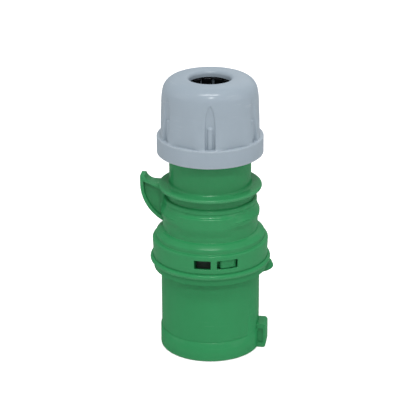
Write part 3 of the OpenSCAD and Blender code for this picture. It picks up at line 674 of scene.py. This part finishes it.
def turned_metal(name, colour, deep, roughness, pitch):
    """Turned metal: fine tool marks across the axis and a slow tarnish"""
    finish = Finish(name, roughness, 1.0)
    tree = finish.tree
    lines = noise(tree, place(tree, (0.02, 0.02, 1.0)), 1 / pitch, 3.0, 0.6)
    tarnish = finish.use("Flow marks", Size=9 * MM, Contrast=1.6)
    scuff = finish.use("Handling scuffs", Size=2 * MM, Amount=0.5)
    finish.colour(finish.mix(tarnish["Tone"], deep, colour))
    finish.rough((lines, 0.12), (scuff["Mask"], 0.2))
    finish.bump(lines, 0.01 * MM, 0.5)
    return finish.material


def darker(colour, factor):
    """A colour with less light"""
    return tuple(c * factor for c in colour)


def paler(colour, part):
    """A colour mixed with white"""
    return tuple(c + (1 - c) * part for c in colour)


def build_finishes(own):
    """All the finishes, by the part of the plug that wears them"""
    build_effects()
    # The rim heights given to each finish are painted paler as painted highlights: the disc's edge,
    # the sleeve's mouth rim and lip, and the nut's flange
    return {
        "housing": moulded("Green polyamide", own.green, own.green_deep, paler(own.green, 0.16),
                           roughness=0.34, grain=0.28 * MM, depth=0.02 * MM,
                           highlit_rims=[(74 * MM, 1.2 * MM)], coat=0.11),
        "sleeve": moulded("Green sleeve polyamide", own.green, own.green_deep,
                          paler(own.green, 0.16), roughness=0.33, grain=0.28 * MM,
                          depth=0.02 * MM, highlit_rims=[(0.0, 1.4 * MM), (40.7 * MM, 1 * MM)]),
        "nut": moulded("Grey polyamide", own.grey, own.grey_deep, paler(own.grey, 0.4),
                       roughness=0.36, grain=0.26 * MM, depth=0.02 * MM,
                       highlit_rims=[(88.8 * MM, 1.2 * MM), (96.5 * MM, 0.8 * MM)], coat=0.16),
        "cage": moulded("Black polyamide", own.black, darker(own.black, 0.6),
                        paler(own.black, 0.1), roughness=0.42, grain=0.3 * MM, depth=0.03 * MM),
        "insert": moulded("Charcoal polyamide", own.charcoal, darker(own.charcoal, 0.7),
                          paler(own.charcoal, 0.12), roughness=0.5, grain=0.5 * MM,
                          depth=0.04 * MM),
        "rubber": rubbery("Seal rubber", own.rubber, darker(own.rubber, 0.6)),
        "brass": turned_metal("Turned brass", own.brass, darker(own.brass, 0.7), 0.2, 0.12 * MM),
        "zinc": turned_metal("Zinc-plated steel", own.zinc, darker(own.zinc, 0.75), 0.3, 0.18 * MM),
    }


def finish_of(key):
    """A finish by its short name, built on first use"""
    if not FINISHES:
        FINISHES.update(build_finishes(bpy.context.scene.plug_finish))
    return FINISHES[key]


FINISHES = {}


# Repeats by Geometry Nodes

def ring_of(name, seed, count_label, count, material):
    """Repeats a seed mesh evenly round the axis by Geometry Nodes, and leaves a plain mesh"""
    group = bpy.data.node_groups.new(name + " ring", "GeometryNodeTree")
    new_socket = group.interface.new_socket
    new_socket("Geometry", in_out="INPUT", socket_type="NodeSocketGeometry")
    number = new_socket(count_label, in_out="INPUT", socket_type="NodeSocketInt")
    new_socket("Geometry", in_out="OUTPUT", socket_type="NodeSocketGeometry")
    given = group.nodes.new("NodeGroupInput").outputs

    def node(kind, inputs, **settings):
        """Adds a node with its inputs linked or set, and returns its first output"""
        new = group.nodes.new(kind)
        for label, value in settings.items():
            setattr(new, label, value)
        for key, value in inputs.items():
            if hasattr(value, "links"):
                group.links.new(value, new.inputs[key])
            else:
                new.inputs[key].default_value = value
        return new.outputs[0]

    line = node("GeometryNodeMeshLine", {"Count": given[count_label], "Offset": (0, 0, 0)})
    index = node("GeometryNodeInputIndex", {})
    share = node("ShaderNodeMath", {0: index, 1: given[count_label]}, operation="DIVIDE")
    angle = node("ShaderNodeMath", {0: share, 1: 2 * math.pi}, operation="MULTIPLY")
    spin = node("ShaderNodeCombineXYZ", {"Z": angle})
    copies = node("GeometryNodeInstanceOnPoints", {"Points": line, "Instance": given["Geometry"],
                                                   "Rotation": spin})
    real = node("GeometryNodeRealizeInstances", {0: copies})
    painted = node("GeometryNodeSetMaterial", {"Geometry": real, "Material": material})
    group.links.new(painted, group.nodes.new("NodeGroupOutput").inputs[0])
    change = seed.modifiers.new(group.name, "NODES")
    change.node_group = group
    change[number.identifier] = count
    settle(seed)


# Pieces

def cone_heights(scene):
    """Foot and end of the cone inside the nut, which closes the clamp cage's fingers"""
    nut = scene.plug_nut
    entry_foot = nut.top - nut.throat_round - nut.throat_wall
    return scene.plug_housing.neck_top + nut.cone_foot, entry_foot - nut.cone_gap


class PLUG_OT_gland_nut(bpy.types.Operator):
    """Builds the gland nut with its soft flats, flutes, ribs, dome and throat"""
    bl_idname = "plug.gland_nut"
    bl_label = "Gland nut"

    def execute(self, context):
        own = context.scene.plug_nut
        rim = own.bottom + own.flange_height
        cone_low, cone_top = cone_heights(context.scene)
        throat_low = cone_top + own.cone_gap
        cone_end = own.throat_radius + own.cone_wall
        pocket = own.bore_radius - 0.3 * MM
        ceiling = cone_top - 0.6 * MM
        corners = [
            (own.flange_radius, own.bottom, 0.5 * MM),
            (own.flange_radius, rim, 0.5 * MM),
            (own.corner_radius + 0.35 * MM, rim + 0.15 * MM, 0.2 * MM),
            (own.corner_radius, rim + 0.7 * MM, 0.5 * MM),
            *self.dome(own),
            (own.throat_radius + 0.05 * MM, own.top, own.throat_round),
            (own.throat_radius, throat_low, 0),
            (cone_end, throat_low, 0),
            (cone_end, cone_top, 0),
            (own.cone_radius, cone_low, 0.1 * MM),
            (own.cone_radius + 2 * MM, cone_low, 0.2 * MM),
            (cone_end + 2.6 * MM, ceiling, 0.5 * MM),
            (pocket - 2 * MM, ceiling, 0.5 * MM),
            (pocket, cone_top - 4 * MM, 0.5 * MM),
            (pocket, cone_low, 0),
            (own.bore_radius, cone_low, 0),
            (own.bore_radius, own.bottom, 0.3 * MM),
        ]
        over_flutes = rim + own.flute_height + 0.8 * MM
        outline = refine(soften(corners, 0.15), rim, over_flutes, 0.3 * MM)
        piece = lathe("gland_nut_shell", outline, self.angles(own), self.surface(own, rim))
        smooth(piece, math.radians(50))
        paint(piece, finish_of("nut"))
        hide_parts("gland_nut")
        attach(piece, "nut")
        return {"FINISHED"}

    @staticmethod
    def dome(own):
        """The dome's section: a soft curve that leans in, and a tighter one tangent to it"""
        low, edge = own.top - own.dome_height, own.top - own.dome_radius
        rise, reach = edge - low, own.lean_radius - own.dome_radius
        lean_x = own.top_radius - own.lean_radius
        edge_x = lean_x + math.sqrt(reach * reach - rise * rise)
        split = math.asin(rise / reach)
        points = []
        for x, z, radius, first, last, steps in (
                (lean_x, low, own.lean_radius, 0, split, 12),
                (edge_x, edge, own.dome_radius, split, math.pi / 2, 24)):
            for k in range(1 if first else 0, steps + 1):
                a = first + (last - first) * k / steps
                points.append((x + radius * math.cos(a), z + radius * math.sin(a), 0))
        return points

    @staticmethod
    def angles(own):
        """Directions round the nut, closer together at the flutes"""
        fine, plain = 46, 26
        sixth, near = math.pi / 3, math.radians(8.5)
        found = []
        for k in range(6):
            middle = own.flute_turn + k * sixth
            found += [middle - near + 2 * near * i / fine for i in range(fine)]
            found += [middle + near + (sixth - 2 * near) * i / plain for i in range(plain)]
        return found

    @staticmethod
    def surface(own, rim):
        """The nut's outside as a radius for each direction and height"""
        sixth = math.pi / 3
        half = own.flute_width / 2
        arch = own.flute_arch
        arch_radius = (half * half + arch * arch) / (2 * half)
        apex = rim + own.flute_height
        spring = apex - arch
        rib_half, proud = own.rib_width / 2, own.rib_proud
        rib_radius = (rib_half ** 2 + proud ** 2) / (2 * proud)
        rib_top = rim + own.rib_height - rib_half
        outside = own.bore_radius + 1.2 * MM
        shaped_top = apex + 0.6 * MM

        def radius(angle, r, z):
            if r < outside or z < rim + 0.05 * MM or z > shaped_top:
                return r
            off = (angle - own.flute_turn + sixth / 2) % sixth - sixth / 2
            flat = own.half_flats / math.cos(sixth / 2 - abs(off))
            fade = ease((shaped_top - z) / MM)
            r += (soft_min(r, flat, own.crease) - r) * fade
            across = abs(r * math.sin(off))
            width = half
            if z > spring:
                rise = min(z - spring, arch)
                width = half - arch_radius + math.sqrt(max(arch_radius ** 2 - rise ** 2, 0))
            soft = (0.5 + 0.5 * min(max((z - rib_top) / (apex - rib_top), 0), 1)) * MM
            inside = ease((width - across) / soft + 0.5) * ease((apex - z) / soft)
            floor = own.flute_floor / math.cos(off) + 0.25 * MM * min(across / half, 1) ** 2
            reach = math.hypot(across, 1.5 * max(z - rib_top, 0))
            swell = math.sqrt(max(rib_radius ** 2 - reach ** 2, 0)) - (rib_radius - proud)
            floor += max(swell, 0)
            return r + (min(floor, r) - r) * inside
        return radius


class PLUG_OT_clamp_cage(bpy.types.Operator):
    """Builds the clamp cage: a base ring and a crown of fingers repeated round it"""
    bl_idname = "plug.clamp_cage"
    bl_label = "Clamp cage"

    def execute(self, context):
        own = context.scene.plug_cage
        nut = context.scene.plug_nut
        cone_low, cone_top = cone_heights(context.scene)
        low_radius, top_radius = nut.cone_radius, nut.throat_radius + nut.cone_wall
        slope = (low_radius - top_radius) / (cone_top - cone_low)
        play = 0.3 * MM * math.sqrt(1 + slope * slope)
        ring_top = own.bottom + own.ring
        base = lathe("cage_ring", soften([
            (own.radius - own.wall, own.bottom, 0.3 * MM), (own.radius, own.bottom, 0.3 * MM),
            (own.radius, ring_top, 0.4 * MM), (own.radius - own.wall, ring_top, 0.4 * MM),
        ]), even_angles(192))
        finger = self.finger(own, ring_top, low_radius - play, top_radius - play,
                             cone_low, cone_top)
        half_key = own.key_width / 2
        key = block("cage_key", own.radius - MM, own.radius + own.key_proud,
                    own.bottom + 0.1 * MM, ring_top - 0.2 * MM, -half_key, half_key)
        key.data.transform(Matrix.Rotation(own.first_key, 4, "Z"))
        round_edges(key, 0.2 * MM)
        finish = finish_of("cage")
        ring_of("Fingers", finger, "Fingers", own.fingers, finish)
        ring_of("Keys", key, "Keys", own.key_count, finish)
        for piece in (base, finger, key):
            straighten(piece)
            smooth(piece)
            paint(piece, finish)
            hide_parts("clamp_cage")
            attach(piece, "clamp")
        return {"FINISHED"}

    @staticmethod
    def finger(own, ring_top, low_radius, top_radius, cone_low, cone_top):
        """One finger of the crown: it leans in towards the cable, with a rounded tip"""
        half_turn = math.pi / own.fingers
        foot, tip = ring_top - 0.6 * MM, 0.5 * MM
        # Outer radius, thickness and height at the foot, the bend and the tip
        line = [(own.radius, own.wall, foot), (low_radius, own.finger, cone_low),
                (top_radius, own.finger, cone_top)]
        length, bow, across = 16, 6, 10
        heights = [(foot + (cone_top - tip - foot) * k / length, 0) for k in range(length)]
        for k in range(bow + 1):
            a = math.pi / 2 * k / bow
            heights.append((cone_top - tip * (1 - math.sin(a)), tip * (1 - math.cos(a))))
        verts = []
        for z, cut in heights:
            (r, t, low), (r_next, t_next, high) = line[:2] if z < cone_low else line[1:]
            part = (z - low) / (high - low)
            outer, thick = r + (r_next - r) * part, t + (t_next - t) * part
            r_out, r_in = outer - cut, outer - thick + cut
            clear = math.asin(own.gap / 2 / r_out)
            for side_r, way in ((r_out, range(across + 1)), (r_in, range(across, -1, -1))):
                reach = half_turn - clear * r_out / side_r
                for i in way:
                    a = -reach + 2 * reach * i / across + half_turn
                    verts.append((side_r * math.cos(a), side_r * math.sin(a), z))
        return tube("cage_finger", verts, len(heights))


class PLUG_OT_rear_housing(bpy.types.Operator):
    """Builds the rear housing: skirt, shoulder, ringed body, disc, neck, pad, windows and hook"""
    bl_idname = "plug.rear_housing"
    bl_label = "Rear housing"

    def execute(self, context):
        own = context.scene.plug_housing
        hook = context.scene.plug_hook
        outline = self.outline(own)
        piece = lathe("rear_housing_shell", outline, self.angles(own), self.surface(own))
        skirt, edge, past = own.skirt_radius, own.window_edge, own.window_rebate
        low, high = own.window_low, own.window_low + own.window_height
        inside, outside, rebate_past = 21.4 * MM, 27 * MM, math.radians(5)
        levels = [(inside, 0), (skirt - edge, 0), (skirt + edge, 2 * edge), (outside, 2 * edge)]
        cutters = []
        for name, middle, angle in (("plain", own.window_turn, own.window_angle),
                                    ("latch", own.latch_turn, own.latch_angle)):
            cutters.append(opening(name + "_cutter", middle, skirt * angle / 2, low, high,
                                   own.window_corner, skirt, levels))
            cutters.append(sector(name + "_rebate", inside, skirt - own.window_lip, low - past,
                                  high + past, middle, angle + rebate_past))
        cage = context.scene.plug_cage
        cutters += [self.keyway(cage.first_key + a, own) for a in even_angles(cage.key_count)]
        cut_out(piece, cutters)
        smooth(piece)
        for part in (piece, self.hook(own, hook), *self.fillets(own, hook, outline)):
            paint(part, finish_of("housing"))
            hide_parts("rear_housing")
            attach(part, "plug_body")
        return {"FINISHED"}

    @staticmethod
    def angles(own):
        """Directions round the housing, closer together at the pad and the windows"""
        front = math.radians(84)
        side = own.window_turn - math.radians(36)
        fine, plain = 180, 172
        rest = 2 * math.pi - front
        return ([side + front * i / fine for i in range(fine)]
                + [side + front + rest * i / plain for i in range(plain)])

    @staticmethod
    def fillets(own, hook, outline):
        """The hollow fillets that join the hook's sides to the body"""
        innermost, over_shoulder = own.waist_radius - 2 * MM, 56 * MM
        outside = [p for p in outline if p.x > innermost and p.y > over_shoulder]
        low, high, run_in, thinnest = 62.6 * MM, own.disc_low + 0.2 * MM, 2.4 * MM, 0.02 * MM
        rows, steps, fall = 44, 10, own.body_radius
        pieces = []
        for side in (-1, 1):
            verts = []
            for k in range(rows + 1):
                z = low + (high - low) * k / rows
                size = max(hook.fillet * ease((z - low) / run_in), thinnest)
                near = sorted(outside, key=lambda p: abs(p.y - z))[:2]
                base = max(*(p.x for p in near), own.waist_radius - 0.2 * MM)
                edge = hook.width / 2 - 0.1 * MM
                section = []
                for i in range(steps + 1):
                    a = math.pi / 2 * i / steps
                    section.append((base + size * (1 - math.sin(a)),
                                    edge + size * (1 - math.cos(a))))
                section += [(base - 0.6 * MM, edge + size), (base - 0.6 * MM, edge - 0.4 * MM),
                            (base + size, edge - 0.4 * MM)]
                # The body is round, so its surface falls back to the sides
                verts += [(-(x - fall + math.sqrt(fall * fall - y * y)), side * y, z)
                          for x, y in section]
            piece = tube("hook_fillet", verts, rows + 1)
            smooth(piece)
            pieces.append(piece)
        return pieces

    @staticmethod
    def keyway(angle, own):
        """One of the slots in the neck that the cage's keys slide in"""
        inner, outer, foot, half = 12 * MM, 16.2 * MM, 94.3 * MM, 1.5 * MM
        cutter = block("keyway_cutter", inner, outer, foot, own.neck_top + MM, -half, half)
        cutter.data.transform(Matrix.Rotation(angle, 4, "Z"))
        return cutter

    @staticmethod
    def outline(own):
        """The housing's section: up the outside, over the neck and down the inside"""
        ring_top = own.ring_low + own.ring_height
        crest = ring_top - own.ring_slope
        disc_top = own.disc_low + own.disc_thickness
        groove_low = own.disc_low - own.groove_height
        skirt = own.skirt_radius
        cavity = own.body_radius - 2.3 * MM
        cavity_low, cavity_top = 52.9 * MM, 68.3 * MM
        bore = own.neck_radius - 2.2 * MM
        ledge, ledge_low, ledge_top = 10 * MM, 85.3 * MM, 88.3 * MM
        skirt_inside, lead_in = 22.6 * MM, 21.5 * MM
        corners = [
            (skirt - 0.1 * MM, own.joint, 0.2 * MM),
            (skirt - 0.2 * MM, own.joint + 2.9 * MM, 0),
            (skirt, own.joint + 6.2 * MM, 0),
            (skirt, own.skirt_top, 0.9 * MM),
            (skirt - 1.5 * MM, own.skirt_top - 0.2 * MM, 0.4 * MM),
            (skirt - 1.5 * MM, own.shoulder_edge, 0.8 * MM),
            (own.body_radius + 1.05 * MM, own.shoulder_top - 0.4 * MM, 0.6 * MM),
            (own.body_radius, own.shoulder_top, 0.25 * MM),
            (own.body_radius, own.ring_low, 1.2 * MM),
            (own.ring_radius - 0.1 * MM, own.ring_low + own.ring_swell, 0.9 * MM),
            (own.ring_radius, crest - 0.66 * MM, 0.1 * MM),
            (own.ring_radius - 0.18 * MM, crest - 0.4 * MM, 0.1 * MM),
            (own.ring_radius, crest - 0.12 * MM, 0.15 * MM),
            (own.ring_radius - 0.3 * MM, crest + 0.3 * MM, 0.4 * MM),
            (own.waist_radius, ring_top, 1.0 * MM),
            (own.waist_radius, own.line_height - 0.6 * MM, 0.2 * MM),
            (own.waist_radius - 0.28 * MM, own.line_height + 0.1 * MM, 0.1 * MM),
            (own.waist_radius, own.line_height + 0.35 * MM, 0.12 * MM),
            (own.waist_radius, groove_low, 1.0 * MM),
            (own.groove_radius, groove_low, 0.4 * MM),
            (own.groove_radius, own.disc_low, 0.4 * MM),
            (own.disc_radius, own.disc_low, 0.8 * MM),
            (own.disc_radius, disc_top, 0.8 * MM),
            (own.neck_radius, disc_top, 1.2 * MM),
            (own.neck_radius, own.neck_top, 0.3 * MM),
            (bore + MM, own.neck_top, 0.2 * MM),
            (bore, own.neck_top - MM, 0.3 * MM),
            (bore, ledge_top, 0),
            (ledge, ledge_top, 0.3 * MM),
            (ledge, ledge_low, 0.3 * MM),
            (bore, ledge_low, 0.3 * MM),
            (bore, cavity_top + 3 * MM, 0.8 * MM),
            (cavity, cavity_top, 0.8 * MM),
            (cavity, cavity_low, 0.2 * MM),
            (lead_in, cavity_low, 0.2 * MM),
            (lead_in, cavity_low - 0.4 * MM, 0.2 * MM),
            (skirt_inside, 51 * MM, 0.2 * MM),
            (skirt_inside, own.joint, 0.3 * MM),
        ]
        below_pad, over_pad = 54.4 * MM, 67 * MM
        return refine(soften(corners), below_pad, over_pad, 0.35 * MM)

    @staticmethod
    def surface(own):
        """The body's outside with the bare pad raised in front"""
        low, high = own.pad_top - own.pad_height, own.pad_top
        half_w, full = own.pad_width / 2, own.ring_radius + 0.05 * MM
        plain = own.body_radius - 0.1 * MM
        side_soft, top_soft, reach = 6 * MM, 1.3 * MM, math.radians(50)

        def radius(angle, r, z):
            off = off_axis(angle, own.window_turn)
            inner = r < own.waist_radius - 0.5 * MM
            if inner or abs(off) > reach or not low - MM < z < high + MM:
                return r
            beside = ease((half_w - abs(r * math.sin(off))) / side_soft + 0.5)
            mask = beside * ease((high - z) / top_soft + 0.5) * ease((z - low) / MM)
            proud = plain + (full - plain) * ease((z - low) / own.pad_fade)
            return r + max(proud - r, 0) * mask
        return radius

    @staticmethod
    def hook(own, sizes):
        """The finger hook: a rimmed web with a curl, hollow on both sides, its edges softened"""
        disc_top = own.disc_low + own.disc_thickness
        centre_x, centre_z = sizes.reach - sizes.radius, disc_top - 1.05 * MM
        plate = disc_top - 0.3 * MM
        tip = disc_top + sizes.tip
        curl_x = sizes.reach - 6.1 * MM
        root = own.groove_radius - 0.8 * MM

        def arc(radius, first_x, top):
            """Points down the outer curve from a height to where it meets the body"""
            last = math.acos((first_x - centre_x) / radius)
            turns = [-last * k / 40 for k in range(41)]
            return [(centre_x + radius, top)] + [
                (centre_x + radius * math.cos(a), centre_z + radius * math.sin(a)) for a in turns]

        shape = arc(sizes.radius, root, tip)
        shape += [(root, plate), (curl_x, plate)]
        reach = math.acos((sizes.curl - (tip - plate)) / sizes.curl)
        for k in range(1, 25):
            a = reach * k / 24
            shape.append((curl_x + sizes.curl * math.sin(a),
                          plate + sizes.curl * (1 - math.cos(a))))
        half = sizes.width / 2
        piece = prism("finger_hook", [(-x, z) for x, z in shape], -half, half)
        inner = own.body_radius + 0.6 * MM
        hollow = arc(sizes.radius - sizes.rim, inner, disc_top - 0.15 * MM)
        hollow.append((inner, disc_top - 3.5 * MM))
        hollow = [(-x, z) for x, z in hollow]
        sides = ((-half - 2 * MM, -sizes.web / 2), (sizes.web / 2, half + 2 * MM))
        cut_out(piece, [prism("hollow_cutter", hollow, low, high) for low, high in sides])
        round_edges(piece, sizes.corner)
        smooth(piece)
        return piece


class PLUG_OT_front_sleeve(bpy.types.Operator):
    """Finishes the front sleeve with its key, collar, nose and latch tongue"""
    bl_idname = "plug.front_sleeve"
    bl_label = "Front sleeve"

    def execute(self, context):
        own = context.scene.plug_sleeve
        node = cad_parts["front_sleeve"]
        piece = bpy.data.objects.new("front_sleeve_shell", node.data.copy())
        bpy.context.scene.collection.objects.link(piece)
        mesh = bmesh.new()
        mesh.from_mesh(piece.data)
        bmesh.ops.remove_doubles(mesh, verts=mesh.verts, dist=0.002 * MM)
        bmesh.ops.dissolve_limit(mesh, angle_limit=math.radians(1), verts=mesh.verts,
                                 edges=mesh.edges)
        for vert in mesh.verts:
            self.reshape(vert.co, own)
        mesh.to_mesh(piece.data)
        mesh.free()
        smooth(piece, math.radians(28))
        paint(piece, finish_of("sleeve"))
        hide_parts("front_sleeve")
        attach(piece, "plug_body")
        return {"FINISHED"}

    @staticmethod
    def reshape(spot, own):
        """Rounds the key's outer corners more, and lifts the collar's lip a little"""
        grow, near = own.key_round / own.key_corner, 1.02 * own.key_corner
        for corner_z in (0, own.key_height):
            corner = Vector((own.key_reach, spot.y, corner_z))
            off = spot - corner
            if spot.x > own.key_reach - near and abs(off.z) < near:
                spot.xyz = corner + grow * off
        out = math.hypot(spot.x, spot.y)
        if out > own.lip_inside and own.lip_low < spot.z < own.lip_high:
            spot.z += own.lip_lift
        if out > own.key_reach - 4 * MM and abs(spot.z - own.band_top) < 0.02 * MM:
            spot.z -= own.band_step


class PLUG_OT_inner_parts(bpy.types.Operator):
    """Finishes the carrier, the seals, the contacts and their screws"""
    bl_idname = "plug.inner_parts"
    bl_label = "Carrier, seals and contacts"

    def execute(self, context):
        own = context.scene.plug_inner
        for name, finish in (("pin_carrier", "insert"), ("housing_gasket", "rubber"),
                             ("line_pin", "brass"), ("neutral_pin", "brass"),
                             ("earth_pin", "brass")):
            paint(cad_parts[name], finish_of(finish))
        self.seal(own)
        self.screws(own)
        return {"FINISHED"}

    @staticmethod
    def seal(own):
        """The rubber seal, flared at each end and with shallow lips inside"""
        mouth, lip, lips = 1.2 * MM, 0.35 * MM, 3
        low, high, bore = own.seal_low, own.seal_high, own.seal_bore
        corners = [(own.seal_radius, low, 0.3 * MM), (own.seal_radius, high, 0.3 * MM),
                   (bore + mouth, high, 0.3 * MM), (bore, high - mouth, 0.3 * MM)]
        step = (high - low - 2 * mouth) / (2 * lips)
        for k in range(1, 2 * lips):
            corners.append((bore + (lip if k % 2 else 0), high - mouth - k * step, 0.5 * MM))
        corners += [(bore, low + mouth, 0.3 * MM), (bore + mouth, low, 0.3 * MM)]
        outline = refine(soften(corners), low, high, 0.8 * MM)
        piece = lathe("cable_seal_ring", outline, even_angles(144))
        straighten(piece)
        smooth(piece)
        paint(piece, finish_of("rubber"))
        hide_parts("cable_seal")
        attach(piece, "plug_body")
        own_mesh(piece)

    @staticmethod
    def screws(own):
        """A slotted terminal screw with a rounded head, repeated at each pin"""
        crown, shank, pole = own.screw_neck + own.head_height, own.screw_radius, 0.01 * MM
        corners = [(0, own.screw_tip, 0), (shank - 0.3 * MM, own.screw_tip, 0.1 * MM),
                   (shank, own.screw_tip + 0.4 * MM, 0.1 * MM), (shank, own.screw_neck, 0),
                   (own.head_radius, own.screw_neck, 0.2 * MM),
                   (own.head_radius, crown, 0.6 * MM), (0, crown, 0)]
        outline = [tuple(p) for p in soften(corners, 0.2) if p.x > 1e-6]
        outline = [(pole, own.screw_tip), *outline, (pole, crown)]
        screw = lathe("terminal_screw_set", outline, even_angles(64))
        straighten(screw)
        long, deep, half = 5 * MM, 1.1 * MM, 0.45 * MM
        slot = block("slot_cutter", -long, long, crown - deep, crown + MM, -half, half)
        slot.data.transform(Matrix.Rotation(math.radians(20), 4, "Z"))
        cut_out(screw, [slot])
        screw.data.transform(Matrix.Rotation(own.first_pin, 4, "Z")
                             @ Matrix.Translation((own.pin_circle, 0, own.screw_height))
                             @ Matrix.Rotation(math.pi / 2, 4, "Y"))
        ring_of("Terminal screws", screw, "Poles", own.poles, finish_of("zinc"))
        smooth(screw)
        paint(screw, finish_of("zinc"))
        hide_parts("terminal_screws")
        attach(screw, "plug_body")


class PLUG_OT_stage(bpy.types.Operator):
    """Sets the camera, the floor and the soft lights"""
    bl_idname = "plug.stage"
    bl_label = "Stage"

    def execute(self, context):
        own = context.scene.plug_stage
        scene = context.scene
        aim = Vector((0, 0, own.aim))
        spot = aim + own.distance * self.way(own.azimuth, own.elevation)
        data = bpy.data.cameras.new("Camera")
        data.lens = own.lens
        data.sensor_width = 36
        data.shift_x = own.shift
        data.clip_start = 0.01
        camera = bpy.data.objects.new("Camera", data)
        camera.rotation_mode = "QUATERNION"
        camera.location = spot
        look = (aim - spot).to_track_quat("-Z", "Y")
        camera.rotation_quaternion = look @ Quaternion((0, 0, 1), own.roll)
        scene.collection.objects.link(camera)
        scene.camera = camera
        scene.view_settings.view_transform = "Standard"
        key = aim + own.key_distance * self.way(own.key_azimuth, own.key_elevation)
        for name, spot, watts, width, height in (
                ("Key light", key, own.key_power, 0.16, 0.16),
                ("Top light", (0.06, -0.46, 1.26), own.top_power, 0.7, 0.12),
                ("Fill light", (0.9, -0.3, 0.5), 0.75 * own.fill_power, 0.6, 0.6),
                ("Left fill light", (-0.9, -0.3, 0.5), 0.6 * own.fill_power, 0.6, 0.6),
                ("Back light", (0.2, 0.9, 0.7), own.fill_power, 0.8, 0.8)):
            self.lamp(name, Vector(spot), aim, watts, width, height)
        self.floor()
        self.world(scene, own.sky)
        return {"FINISHED"}

    @staticmethod
    def way(azimuth, elevation):
        """A direction as a unit vector"""
        flat = math.cos(elevation)
        return Vector((flat * math.cos(azimuth), flat * math.sin(azimuth), math.sin(elevation)))

    @staticmethod
    def lamp(name, spot, aim, watts, width, height):
        """A soft rectangular light"""
        data = bpy.data.lights.new(name, "AREA")
        data.energy = watts
        data.shape = "RECTANGLE"
        data.size = width
        data.size_y = height
        lamp = bpy.data.objects.new(name, data)
        lamp.location = spot
        lamp.rotation_euler = (aim - spot).to_track_quat("-Z", "Y").to_euler()
        bpy.context.scene.collection.objects.link(lamp)

    @staticmethod
    def seen(tree):
        """1 for rays from the camera and for mirror and clear rays"""
        path = tree.nodes.new("ShaderNodeLightPath").outputs
        both = arithmetic(tree, "MAXIMUM", path["Is Camera Ray"], path["Is Glossy Ray"])
        return arithmetic(tree, "MAXIMUM", both, path["Is Transmission Ray"])

    def floor(self):
        """A plain white floor that keeps the plug's shadow"""
        half, glow = 3.0, 0.45
        corners = [(-half, -half, 0), (half, -half, 0), (half, half, 0), (-half, half, 0)]
        piece = add_mesh("floor", corners, [(0, 1, 2, 3)])
        piece.location.z = -0.2 * MM
        material = bpy.data.materials.new("Plain white floor")
        material.use_nodes = True
        tree = material.node_tree
        shader = tree.nodes["Principled BSDF"]
        shader.inputs["Base Color"].default_value = (0.85, 0.85, 0.85, 1)
        shader.inputs["Roughness"].default_value = 0.9
        shader.inputs["Specular IOR Level"].default_value = 0.1
        shader.inputs["Emission Color"].default_value = (1, 1, 1, 1)
        strength = arithmetic(tree, "MULTIPLY", self.seen(tree), glow)
        tree.links.new(strength, shader.inputs["Emission Strength"])
        paint(piece, material)

    def world(self, scene, sky):
        """Even light from all round, and white where the camera sees it"""
        world = bpy.data.worlds.new("Even sky")
        scene.world = world
        world.use_nodes = True
        tree = world.node_tree
        back = tree.nodes["Background"]
        back.inputs["Color"].default_value = (1, 1, 1, 1)
        level = arithmetic(tree, "ADD", arithmetic(tree, "MULTIPLY", self.seen(tree), 1 - sky), sky)
        tree.links.new(level, back.inputs["Strength"])


class PLUG_PT_panel(bpy.types.Panel):
    """Lists the plug's pieces"""
    bl_idname = "PLUG_PT_panel"
    bl_label = "Pin and sleeve plug"
    bl_space_type = "VIEW_3D"
    bl_region_type = "UI"
    bl_category = "Plug"

    def draw(self, context):
        for operator in OPERATORS:
            self.layout.operator(operator.bl_idname)
        for name, group in GROUPS.items():
            box = self.layout.box()
            box.label(text=group.__doc__)
            for key in group.__annotations__:
                box.prop(getattr(context.scene, name), key)


OPERATORS = (
    PLUG_OT_stage,
    PLUG_OT_gland_nut,
    PLUG_OT_clamp_cage,
    PLUG_OT_rear_housing,
    PLUG_OT_front_sleeve,
    PLUG_OT_inner_parts,
)
CLASSES = (*GROUPS.values(), *OPERATORS, PLUG_PT_panel)


def register():
    for one in CLASSES:
        bpy.utils.register_class(one)
    for name, group in GROUPS.items():
        setattr(bpy.types.Scene, name, PointerProperty(type=group))


def unregister():
    for name in GROUPS:
        delattr(bpy.types.Scene, name)
    for one in reversed(CLASSES):
        bpy.utils.unregister_class(one)


def main():
    register()
    for operator in OPERATORS:
        family, action = operator.bl_idname.split(".")
        getattr(getattr(bpy.ops, family), action)()


if __name__ == "__main__":
    main()
